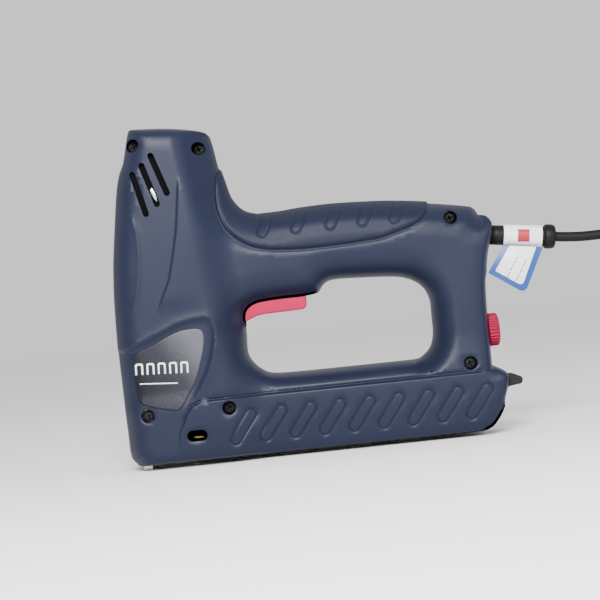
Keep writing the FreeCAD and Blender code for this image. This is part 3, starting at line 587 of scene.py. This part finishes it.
# Where the halves' edges stand apart: first and last x, first and last z, and half the gap there.
GAPS = [
    (57.5, 114.5, 76, 96, 8.4),      # the trigger comes through here
    (-3, 32.5, -5, 3.3, 12.2),       # nose plates and staple exit
    (31, 206.5, -5, 3.0, 18.9),      # the drawer's tray
    (200, 217.5, -5, 22.5, 18.9),    # the drawer's end cap
    (205, 226, 22.5, 32.0, 10.8),    # the latch
]
SEAM = 0.12
SLEEVE_FOOT, SLEEVE_TILT, SLEEVE_BORE = (221.0, 114.9), math.radians(7.5), 6.05
SLEEVE_AXIS = (math.cos(SLEEVE_TILT), 0, -math.sin(SLEEVE_TILT))
KNOB_Z, SHAFT_BORE = 58.5, 3.3


def window(value, low, high, soft):
    """1 between low and high, falling softly to 0 just inside them."""
    return ramp(value, low, low + soft) * (1 - ramp(value, high - soft, high))


def edge_gap(points):
    """How far from the split plane each edge point of a half stands."""
    x, z = points[:, 0], points[:, 1]
    gap = np.full(len(points), SEAM)
    for x0, x1, z0, z1, wide in GAPS:
        share = window(x, x0, x1, 0.8) * ramp(z, z0, z0 + 0.3) * (1 - ramp(z, z1 - 0.8, z1))
        gap = np.maximum(gap, wide * share)
    off_sleeve = (x - SLEEVE_FOOT[0]) * math.sin(SLEEVE_TILT) + (z - SLEEVE_FOOT[1]) * math.cos(SLEEVE_TILT)
    for off_axis, bore in ((off_sleeve, SLEEVE_BORE), (z - KNOB_Z, SHAFT_BORE)):
        near = (x > 205) & (np.abs(off_axis) < bore)
        gap[near] = np.maximum(gap[near], np.sqrt(np.maximum(bore ** 2 - off_axis[near] ** 2, 0)))
    return gap


# ---------------- meshes laid over the side

def offset_loop(loop, inward):
    """A closed loop moved inward along its normals."""
    ahead = np.roll(loop, -1, axis=0) - np.roll(loop, 1, axis=0)
    length = np.linalg.norm(ahead, axis=1, keepdims=True)
    normal = np.stack([-ahead[:, 1], ahead[:, 0]], axis=1) / np.maximum(length, 1e-9)
    area = 0.5 * np.sum(loop[:, 0] * np.roll(loop[:, 1], -1) - np.roll(loop[:, 0], -1) * loop[:, 1])
    return loop + normal * inward * (1 if area > 0 else -1)


def resample(loop, step):
    """A closed loop's points spread evenly."""
    closed = np.vstack([loop, loop[:1]])
    lengths = np.concatenate([[0], np.cumsum(np.linalg.norm(np.diff(closed, axis=0), axis=1))])
    count = max(12, int(round(lengths[-1] / step)))
    spots = np.linspace(0, lengths[-1], count, endpoint=False)
    return np.stack([np.interp(spots, lengths, closed[:, axis]) for axis in (0, 1)], axis=1)


def slot_loop(start, end, radius, count=28):
    """The outline of a slot with round ends, or of a circle."""
    start, end = np.array(start, float), np.array(end, float)
    run = end - start
    angle = math.atan2(run[1], run[0]) if np.linalg.norm(run) > 1e-6 else 0.0
    points = []
    for index in range(count):
        turn = angle - math.pi / 2 + 2 * math.pi * (index + 0.5) / count
        centre = end if index < count / 2 else start
        points.append(centre + radius * np.array([math.cos(turn), math.sin(turn)]))
    return np.array(points)


def cover(outer, holes, extra, spacing):
    """Triangles over the area inside a loop and outside its holes, with the extra points in it."""
    loops = [outer] + holes
    points, edges = [], []
    for loop in loops:
        first = len(points)
        points.extend(map(tuple, loop))
        edges.extend([(first + i, first + (i + 1) % len(loop)) for i in range(len(loop))])
    low, high = outer.min(axis=0), outer.max(axis=0)
    xs = np.arange(low[0], high[0], spacing)
    rows = []
    for index, z in enumerate(np.arange(low[1], high[1], spacing * 0.87)):
        rows.append(np.stack([xs + (index % 2) * spacing / 2, np.full(len(xs), z)], axis=1))
    grid = np.vstack(rows)
    if len(extra):
        near = np.full(len(grid), 1e9)
        for start in range(0, len(extra), 400):
            block = extra[start:start + 400]
            near = np.minimum(near, np.min(np.linalg.norm(grid[:, None] - block[None], axis=2), axis=1))
        grid = np.vstack([grid[near > spacing * 0.6], extra])
    keep = inside(outer, grid) & (distance_to(outer, grid, True)[0] > 0.1)
    for hole in holes:
        keep &= ~inside(hole, grid) & (distance_to(hole, grid, True)[0] > 0.1)
    points.extend(map(tuple, grid[keep]))
    verts, _, faces, _, _, _ = delaunay_2d_cdt([Vector(point) for point in points], edges, [], 0, 1e-5)
    verts = np.array([tuple(vert) for vert in verts])
    faces = [tuple(face) for face in faces]
    centres = np.array([verts[list(face)].mean(axis=0) for face in faces])
    wanted = inside(outer, centres)
    for hole in holes:
        wanted &= ~inside(hole, centres)
    return verts, [face for face, ok in zip(faces, wanted) if ok]


def thin(points, gap):
    """The points without those that nearly coincide."""
    cells = {}
    for point in points:
        cells.setdefault((round(point[0] / gap), round(point[1] / gap)), point)
    return np.array(list(cells.values()))


def bands(path, offsets, closed=False, step=1.6):
    """Points along a path and at offsets to its sides, to carry a feature's slope."""
    path = smooth(path, step, closed)
    ahead = np.gradient(path, axis=0)
    normal = np.stack([-ahead[:, 1], ahead[:, 0]], axis=1)
    normal /= np.maximum(np.linalg.norm(normal, axis=1, keepdims=True), 1e-9)
    return np.vstack([path + normal * offset for offset in offsets])


def side_mesh(name, verts2d, faces, heights, sign):
    """A mesh over the split plane at given heights, on the left (sign -1) or the right (sign 1)."""
    mesh = bpy.data.meshes.new(name)
    verts = [at(x, sign * y, z) for (x, z), y in zip(verts2d, heights)]
    mesh.from_pydata(verts, [], [face if sign < 0 else face[::-1] for face in faces])
    mesh.validate()
    for polygon in mesh.polygons:
        polygon.use_smooth = True
    return mesh


RECESS_DEPTH, WALL_DEPTH, LIP = 6.0, 3.0, 2.2


def shell_cover():
    """The flat triangulation of one housing half, its two edges, and its holes with their depths."""
    outer, _ = chain(OUTER, 1.3)
    opening, _ = chain(INNER, 1.3)
    extra = []
    for inward in (0.18, 0.5, 1.0, 1.7, 2.6, 3.8, 5.4, 7.4, 9.8, 12.6, 15.6):
        extra.append(offset_loop(outer, inward))
        if inward < 13:
            extra.append(offset_loop(opening, -inward))
    beside_pad = (0.4, 0.8, 1.2, 1.6, 1.9, 2.2, 2.6)
    extra.append(bands(PAD_EDGE, [-away for away in beside_pad[::-1]] + [0] + list(beside_pad), step=1.1))
    extra.append(bands(RECESS_EDGE, (-2.4, -1.2, 0, 1.0, 2.2), closed=True))
    extra.append(bands(PANEL_EDGE[2:10], (-1.7, -1.2, -0.8, -0.3, 0, 0.4, 0.8, 1.2), step=1.1))
    extra.append(bands(PANEL_EDGE[1:3], (-1.2, -0.6, 0, 0.6, 1.2), step=1.1))
    extra.append(bands(CREASE_REAR, (-1.2, -0.7, -0.1, 0.5, 1.2)))
    extra.append(bands(CREASE_FRONT, (-1.6, -0.8, 0, 0.8, 1.6)))
    for start, end in RIBS:
        for grow_by in (-1.2, -0.5, -0.1, 0.25, 0.6, 1.1):
            extra.append(resample(slot_loop(start, end, RIB_RADIUS + grow_by, 48), 0.75))
    holes = []
    for place in SCREW_PLACES:
        holes.append((slot_loop(place, place, SCREW_RADIUS, 32), RECESS_DEPTH))
        extra.append(slot_loop(place, place, SCREW_RADIUS + 0.9, 32))
    for start, end in VENTS:
        holes.append((slot_loop(start, end, VENT_RADIUS, 30), WALL_DEPTH))
        extra.append(slot_loop(start, end, VENT_RADIUS + 0.8, 36))
    holes.append((slot_loop(*WINDOW, WINDOW_RADIUS, 36), WALL_DEPTH))
    extra.append(slot_loop(*WINDOW, WINDOW_RADIUS + 0.9, 40))
    points = thin(np.vstack(extra), 0.32)
    return cover(outer, [opening] + [loop for loop, _ in holes], points, 2.6), outer, opening, holes


def add_walls(mesh, loop2d, sign, top, depth=None, inward=0.0):
    """Walls down from a hole's edge, or a lip in from an outer edge, so that openings show a thickness."""
    if depth is None:
        far_loop, far_top = offset_loop(loop2d, inward), top
    else:
        far_loop, far_top = loop2d, [max(y - depth, 1.0) for y in top]
    bm = bmesh.new()
    bm.from_mesh(mesh)
    near = [bm.verts.new(at(x, sign * y, z)) for (x, z), y in zip(loop2d, top)]
    far = [bm.verts.new(at(x, sign * y, z)) for (x, z), y in zip(far_loop, far_top)]
    for index in range(len(near)):
        after = (index + 1) % len(near)
        bm.faces.new((near[index], near[after], far[after], far[index])).smooth = True
    bm.to_mesh(mesh)
    bm.free()


def make_shells():
    """Both housing halves: a crowned skin over the outline with real holes and walls."""
    (verts, faces), outer, opening, holes = shell_cover()
    height = skin(verts)
    on_edge = np.zeros(len(verts), bool)
    for loop in (outer, opening):
        on_edge |= distance_to(loop, verts, True)[0] < 1e-3
    gap = edge_gap(verts)
    height = np.where(on_edge, gap, np.maximum(height, gap))
    for side, sign in (("left_shell", -1), ("right_shell", 1)):
        mesh = side_mesh(side + "_skin", verts, faces, height, sign)
        for hole, depth in holes:
            add_walls(mesh, hole, sign, skin(hole), depth=depth)
        for loop, inward in ((outer, LIP), (opening, -LIP)):
            add_walls(mesh, loop, sign, edge_gap(loop), inward=inward)
        piece_from(mesh, side + "_moulding", "housing_navy", "housing_plastic", replaces=[side])


def laid(name, loop, lift, sign, finish, slot_name, spacing, features=True, detail=(), replaces=()):
    """A thin patch lying over the housing's side, its edge rounded down into the surface."""
    loop = resample(np.asarray(loop, float), spacing * 0.7)
    rings = [offset_loop(loop, inward) for inward in (0.15, 0.4, 0.8)]
    extra = thin(np.vstack([ring[inside(loop, ring)] for ring in rings] + list(detail)), 0.14)
    verts, faces = cover(loop, [], extra, spacing)
    height = np.maximum(skin(verts, features), SEAM)
    mesh = side_mesh(name, verts, faces, height, sign)
    normals = [vertex.normal.copy() for vertex in mesh.vertices]
    edge, _ = distance_to(loop, verts, True)
    raised = lift(verts, edge) if callable(lift) else lift * (0.2 + 0.8 * ramp(edge, 0, 0.4))
    for vertex, normal, rise in zip(mesh.vertices, normals, raised):
        vertex.co += normal * float(rise) * MM
    return piece_from(mesh, name, finish, slot_name, replaces=replaces)


PAD_RIBS = [((foot, 130.0), (foot + 9, 145.5)) for foot in (84.4, 104.7, 125.0, 144.0, 163.0)]
PAD_RIB_RADIUS, PAD_RIBS_FADE = 2.8, 140.5


def pad_lift(points, edge):
    """The grip pad's thickness: round at its edge, with low slanting ribs that fade towards the top."""
    border, _ = distance_to(PAD_EDGE_LINE, points)
    lift = 1.25 * ramp(border, 0, 1.1) - 0.1
    for low, high in PAD_RIBS:
        away = slot_distance(low, high, PAD_RIB_RADIUS, points)
        groove = ramp(away, -0.8, -0.2) * (1 - ramp(away, 0.2, 0.8))
        lift = lift - 0.7 * groove * (1 - ramp(points[:, 1], 134, 141))
    return lift


def pad_rib_points():
    """Points along the ribs' outlines, for the pad's mesh."""
    loops = []
    for low, high in PAD_RIBS:
        for grown in (-1.2, -0.8, -0.2, 0.2, 0.8, 1.2):
            loop = resample(slot_loop(low, high, PAD_RIB_RADIUS + grown, 48), 0.8)
            loops.append(loop[loop[:, 1] < PAD_RIBS_FADE])
    return loops


def make_pads():
    """A soft grip pad on each side of the handle, meeting along its top."""
    outer, _ = chain(OUTER, 1.3)
    start = int(np.argmin(np.linalg.norm(outer - PAD_EDGE_LINE[0], axis=1)))
    end = int(np.argmin(np.linalg.norm(outer - PAD_EDGE_LINE[-1], axis=1)))
    upper = outer[start:end + 1]
    loop = np.vstack([upper, PAD_EDGE_LINE[1:-1][::-1]])
    for side, sign in (("left_grip_pad", -1), ("right_grip_pad", 1)):
        laid(side + "_rubber", loop, pad_lift, sign, "grip_navy", "grip_plastic", 1.5, features=False,
             detail=pad_rib_points(), replaces=[side])


def staple_mark(x, z):
    """The outline of a staple, points down, turned a little."""
    w, tall, t = 2.6, 7.2, 1.6
    tilt = -math.radians(3)
    raw = [(-w, 0), (-w, tall - 1), (-w + 1, tall), (w - 1, tall), (w, tall - 1), (w, 0), (w - t, 0),
           (w - t, tall - t), (-w + t, tall - t), (-w + t, 0)]
    cos, sin = math.cos(tilt), math.sin(tilt)
    return [(x + px * cos - pz * sin, z + px * sin + pz * cos) for px, pz in raw]


def make_name_plates():
    """A plain brushed-metal plate in each side's recess, with generic staple marks."""
    loop = smooth(PLATE_EDGE, 1.5, closed=True)
    for side, sign in (("left_name_plate", -1), ("right_name_plate", 1)):
        laid(side + "_sheet", loop, 0.55, sign, "brushed_plate", "name_plate_metal", 1.8, replaces=[side])
        for index in range(5):
            mark = staple_mark(5.0 + index * 6.6, 54.0 - index * 0.35)
            laid(f"{side}_mark_{index + 1}", mark, 0.66, sign, "label_white", "name_plate_metal", 0.9)
        stripe = [(4.5, 48.4), (27, 46.6), (27, 48.0), (4.5, 49.8)]
        laid(f"{side}_stripe", stripe, 0.66, sign, "label_white", "name_plate_metal", 0.9)


def brushed_plate():
    """Brushed sheet metal, printed dark below, with a painted sheen that brightens it towards the upper rear
    corner.
    """
    paint = moulded("brushed_plate", (0.5, 0.5, 0.52), 0.34, grain=900, depth=0.25, metallic=0.4,
                    stretch=(1, 1, 18), mottling=0.1, specular=0.25)
    tree = paint.node_tree
    shader = tree.nodes["Principled BSDF"]
    place = next(node for node in tree.nodes if node.type == "TEX_COORD")
    axis = add_node(tree, "SeparateXYZ", {})
    link(tree, place, "Object", axis, "Vector")
    dark, bright = at(8, 0, 42), at(36, 0, 74)
    climb = 0.6
    limits = {"From Min": dark.x + climb * dark.z, "From Max": bright.x + climb * bright.z}
    spread = add_node(tree, "MapRange", limits)
    lean_up = add_node(tree, "Math", {1: climb})
    lean_up.operation = "MULTIPLY_ADD"
    link(tree, axis, "Z", lean_up, 0)
    link(tree, axis, "X", lean_up, 2)
    link(tree, lean_up, "Value", spread, "Value")
    # The colour ramp runs from the dark print to a painted sheen at the upper rear corner.
    print_and_sheen_ramp = add_node(tree, "ValToRGB", {})
    stops = print_and_sheen_ramp.color_ramp
    stops.elements[0].position, stops.elements[0].color = 0.0, (0.006, 0.007, 0.012, 1)
    stops.elements[1].position, stops.elements[1].color = 1.0, (0.085, 0.089, 0.100, 1)
    middle = stops.elements.new(0.55)
    middle.color = (0.022, 0.023, 0.030, 1)
    link(tree, spread, "Result", print_and_sheen_ramp, "Fac")
    link(tree, print_and_sheen_ramp, "Color", shader, "Base Color")
    return paint


# ---------------- moulded and turned pieces

def slab(name, loop, half, bevel, finish, slot_name, body="housing", y=0.0, segments=2, replaces=()):
    """A thick plate cut to an outline, with its edges rounded over."""
    bm = bmesh.new()
    front = [bm.verts.new(at(x, y - half, z)) for x, z in loop]
    back = [bm.verts.new(at(x, y + half, z)) for x, z in loop]
    count = len(loop)
    faces = [bm.faces.new(front), bm.faces.new(back[::-1])]
    for index in range(count):
        after = (index + 1) % count
        bm.faces.new((front[after], front[index], back[index], back[after]))
    bmesh.ops.recalc_face_normals(bm, faces=bm.faces)
    rims = [edge for face in faces for edge in face.edges]
    bmesh.ops.bevel(bm, geom=rims, offset=bevel * MM, segments=segments, profile=0.5, affect="EDGES",
                    clamp_overlap=True)
    for face in bm.faces:
        face.smooth = True
    return piece_built(bm, name, finish, slot_name, body, replaces)


def turned(name, origin, axis, profile, finish, slot_name, body="housing", sides=48, wave=None, replaces=()):
    """A body of revolution from (distance along the axis, radius) pairs, in millimetres."""
    axis = Vector(axis).normalized()
    across = axis.orthogonal().normalized()
    third = axis.cross(across)
    rings = []
    for along, radius in profile:
        ring = []
        for index in range(sides):
            angle = 2 * math.pi * index / sides
            here = radius + (wave(along, radius, angle) if wave else 0.0)
            offset = across * math.cos(angle) + third * math.sin(angle)
            ring.append(origin + (axis * along + offset * here) * MM)
        rings.append(ring)
    return piece_built(loft(rings), name, finish, slot_name, body, replaces)


TRIGGER = [
    (66.5, 99), (106.6, 99), (106.7, 88), (106.4, 84.2), (104.6, 82.5), (96.1, 82.2), (81, 82), (76.1, 81.3),
    (72.3, 79.9), (69.4, 78.6), (67, 80), (64.5, 84), (62, 90), (62.5, 96),
]


def make_controls():
    """The trigger in the opening and the ribbed power knob on the rear post."""
    loop = resample(np.array(TRIGGER, float), 1.0)
    slab("trigger_lever", loop, 8.0, 2.2, "trigger_red", "control_plastic", "trigger", segments=4,
         replaces=["trigger"])

    def ribs(along, radius, angle):
        return 0.3 * math.cos(angle * 30) if 9 < radius < 9.9 and 0.9 < along < 5.9 else 0.0

    profile = [(0, 7.0), (0, 9.2), (0.5, 9.55), (1.0, 9.6), (1.6, 9.58), (3.5, 9.55), (5.0, 9.5), (5.7, 9.45),
               (6.2, 8.9), (6.6, 8.2), (6.6, 6.0), (6.2, 5.2), (6.2, 1.0)]
    turned("power_dial", at(212.8, 0, KNOB_Z), (1, 0, 0), profile, "knob_red", "control_plastic",
           "speed_knob", 240, ribs, ["power_knob"])


def along_sleeve(distance):
    """A point of the sleeve's axis, in the frame's metres."""
    return at(SLEEVE_FOOT[0] + distance * SLEEVE_AXIS[0], 0, SLEEVE_FOOT[1] + distance * SLEEVE_AXIS[2])


def make_sleeve():
    """The tapered bend protector on the cord, with a barrel collar at its end."""
    profile = [(-2, 3.1), (-2, 5.9), (4, 5.95), (12, 5.9), (20, 5.85), (28, 5.8), (30.8, 5.8), (31.3, 6.3),
               (31.8, 7.0), (32.6, 7.3), (34.2, 7.4), (36.0, 7.3), (37.2, 6.9), (37.9, 6.1), (38.2, 5.0),
               (38.2, 3.05)]
    turned("bend_protector", along_sleeve(0), SLEEVE_AXIS, profile, "cord_rubber", "black_rubber",
           replaces=["cord_sleeve"])


def spring_in(node, axis, wire, turns, body):
    """A wire helix filling a spring node's box along one axis."""
    low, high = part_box(node)
    start = (low + high) / 2
    end = start.copy()
    start[axis], end[axis] = low[axis] + wire / 2 * MM, high[axis] - wire / 2 * MM
    radius = min((high - low)[index] for index in range(3) if index != axis) / 2 / MM - wire / 2
    heading = (end - start).normalized()
    across = heading.orthogonal().normalized()
    third = heading.cross(across)
    curve = bpy.data.curves.new(node + "_wire", "CURVE")
    curve.dimensions = "3D"
    curve.bevel_depth = 1.0
    curve.bevel_resolution = 3
    curve.resolution_u = 3
    curve.use_fill_caps = True
    steps = int(turns * 12)
    spline = curve.splines.new("NURBS")
    spline.points.add(steps)
    for index, point in enumerate(spline.points):
        angle = 2 * math.pi * index / 12
        offset = across * math.cos(angle) + third * math.sin(angle)
        point.co = (*(start.lerp(end, index / steps) + offset * radius * MM), 1)
        point.radius = wire / 2 * MM
    spline.order_u = 3
    spline.use_endpoint_u = True
    piece_from(curve, node + "_wire", "bright_steel", "steel", body, [node])


def screw_head(name, x, z, y):
    """A pan head with a cross recess on the left half, at a height over the split plane."""
    arm, reach, cross = 0.42, 1.75, []
    for quarter in range(4):
        turn = math.pi / 2 * quarter + 0.35
        for along, aside in ((reach, -arm), (reach, arm), (arm, arm)):
            cross.append((x + along * math.cos(turn) - aside * math.sin(turn),
                          z + along * math.sin(turn) + aside * math.cos(turn)))
    cross = np.array(cross)
    ring = slot_loop((x, z), (x, z), 3.4, 28)
    verts, faces = cover(ring, [cross], slot_loop((x, z), (x, z), 2.8, 24), 0.8)
    away = np.hypot(verts[:, 0] - x, verts[:, 1] - z)
    mesh = side_mesh(name, verts, faces, y - 0.55 * ramp(away, 2.2, 3.4), -1)
    add_walls(mesh, cross, -1, np.full(len(cross), y), depth=1.3)
    add_walls(mesh, ring, -1, np.full(len(ring), y - 0.55), depth=2.0)
    piece_from(mesh, name, "black_steel", "dark_steel", replaces=["shell_screws"])


# name, outline, half thickness, bevel, finish, slot, and distance from the split plane
INSIDE = [
    # The black sheets behind the vents and the sight window are painted shade: they stand in for the dark
    # inside the housing.
    ("vent_painted_shade", on_side([(8.5, 176), (8.5, 147), (26, 147), (34, 156), (30, 187), (16, 187)], 27),
     0.4, 0.1, "painted_shade_black", "black_plastic", 23.3),
    ("coil_clip", on_side([(19.8, 163), (21.6, 158), (23.6, 156), (23.2, 159.5), (21.2, 164.5)], 27),
     0.3, 0.1, "bright_steel", "steel", 24.1),
    ("sight_painted_shade", [(24, 7), (44, 7), (44, 20), (24, 20)], 0.5, 0.2, "painted_shade_black", "black_plastic", 12.5),
    ("sight_strip", on_side([(29.5, 11.6), (37, 11.4), (36.4, 12.5), (31, 13.0)], 22),
     0.4, 0.15, "brass", "steel", 14.5),
]


def make_inner_details():
    """What shows through the vents and the sight window: black sheets that are painted shade for the dark
    inside, a bright clip and the brass strip.
    """
    for side, sign in (("left", -1), ("right", 1)):
        for piece, loop, half, bevel, finish, slot_name, away in INSIDE:
            slab(f"{side}_{piece}", loop, half, bevel, finish, slot_name, y=sign * away)


def make_screws():
    """The six housing screws, deep in their recesses on the left, with blind bosses on the right."""
    for index, (x, z) in enumerate(SCREW_PLACES):
        around = slot_loop((x, z), (x, z), SCREW_RADIUS, 16)
        depth = max(float(skin(around, features=False).min()) - SCREW_SINK, 3.0)
        screw_head(f"shell_screw_{index + 1}", x, z, depth)
        profile = [(0, 3.9), (0.5, 3.9), (0.5, 2.0), (0.1, 1.6), (0.1, 1.0)]
        turned(f"screw_boss_{index + 1}", at(x, depth - 0.8, z), (0, 1, 0), profile, "housing_navy",
               "housing_plastic", sides=24)


# ---------------- hang tag

CARD = [(226.6, 107.6), (216.1, 92.5), (234.0, 79.9), (236.2, 79.6), (238.2, 81.0), (250.0, 104.4)]
FIELD = [(230.2, 107.2), (220.4, 93.2), (233.6, 84.0), (235.2, 83.7), (236.4, 84.6), (246.0, 104.9)]


def make_tag():
    """A blank hang tag: a white card with a blue border, and a band round the sleeve."""
    profile = [(0, 5.9), (0, 6.45), (0.2, 6.5), (22.8, 6.5), (23, 6.45), (23, 5.9)]
    turned("tag_wrap", along_sleeve(7), SLEEVE_AXIS, profile, "tag_white", "tag_paper", replaces=["tag_band"])
    slab("tag_flag", CARD, 0.3, 0.12, "tag_blue", "tag_paper", y=-6.8, replaces=["tag_card"])
    slab("tag_field", FIELD, 0.03, 0.01, "tag_white", "tag_paper", y=-7.14, segments=1)


def tag_rules():
    """Two broken grey rules printed along the card."""
    along = np.array([8.3, 12.9])
    wide = np.array([0.50, -0.32])
    for line, foot in enumerate(([226.4, 88.4], [231.6, 86.2])):
        for dash in range(6):
            start = np.array(foot) + along * dash / 6.2
            end = start + along * (0.105 if dash % 2 else 0.13)
            bar = np.array([start, start + wide, end + wide, end])
            name = f"tag_rule_{line + 1}_{dash + 1}"
            slab(name, bar, 0.02, 0.004, "tag_grey", "tag_paper", y=-7.2, segments=1)


def tag_patch():
    """The plain red patch printed on the band."""
    ahead = Vector(SLEEVE_AXIS)
    up = Vector((math.sin(SLEEVE_TILT), 0, math.cos(SLEEVE_TILT)))
    bm = bmesh.new()
    columns = []
    for step in range(13):
        turn = math.radians(-34 + 68 * step / 12)
        column = []
        for share in range(9):
            along = 15.2 + 7.0 * share / 8
            offset = up * math.sin(turn) + Vector((0, -1, 0)) * math.cos(turn)
            place = along_sleeve(0) + (ahead * along + offset * 6.62) * MM
            column.append(bm.verts.new(place))
        columns.append(column)
    for left, right in zip(columns, columns[1:]):
        for index in range(8):
            bm.faces.new((left[index], left[index + 1], right[index + 1], right[index]))
    piece_built(bm, "tag_patch", "tag_red", "tag_paper")


# ---------------- plug

GRIP_GROOVE = 0.5


def make_plug():
    """The moulded plug lying on the coil: a waisted body with finger grooves round its neck."""
    entry = at(*TAIL[-1])
    run = entry - at(*TAIL[-2])
    heading = math.atan2(run.y, run.x)
    forward = Vector((math.cos(heading), math.sin(heading), 0))
    side = Vector((-forward.y, forward.x, 0))
    up = Vector((0, 0, 1))
    stations = [(0, 3.6, 3.6), (1.5, 4.4, 4.4), (4, 4.8, 4.8), (8, 5.6, 5.2), (11, 7.5, 5.6), (14, 11.0, 6.2),
                (17, 14.8, 6.7), (20, 16.9, 6.9), (24, 17.4, 6.9), (30, 16.8, 6.9), (34.5, 16.2, 6.8),
                (35.6, 15.6, 6.3), (36, 14.4, 5.4)]
    for index in (1, 3):
        along, wide, tall = stations[index]
        stations[index] = (along, wide - GRIP_GROOVE, tall)
    rings = []
    sides = 40
    for along, wide, tall in stations:
        ring = []
        for index in range(sides):
            angle = 2 * math.pi * index / sides
            cos, sin = math.cos(angle), math.sin(angle)
            power = 0.5 if along > 12 else 0.85
            reach_side = wide * math.copysign(abs(cos) ** power, cos)
            reach_up = tall * math.copysign(abs(sin) ** power, sin)
            ring.append(entry + (forward * along + side * reach_side + up * reach_up) * MM)
        rings.append(ring)
    return piece_built(loft(rings), "plug_moulding", "cord_rubber", "black_rubber", replaces=["plug_body"])


# ---------------- putting it together

def build():
    """Camera and cord first, then the stage, the pieces and the finishes."""
    make_camera()
    cord = make_cord()
    make_stage()
    made["brushed_plate"] = brushed_plate()
    for finish, names in CAD_FINISHES.items():
        for name in names:
            dress(name, finish)
    make_shells()
    make_pads()
    make_name_plates()
    make_controls()
    make_sleeve()
    make_tag()
    tag_rules()
    tag_patch()
    make_plug()
    make_screws()
    make_inner_details()
    spring_in("return_spring", 2, 1.0, 9, "striker")
    spring_in("trigger_spring", 2, 0.6, 7, "housing")
    spring_in("pusher_spring", 0, 0.8, 40, "drawer")
    spring_in("latch_spring", 2, 0.5, 5, "drawer")


build()
bpy.context.view_layer.update()
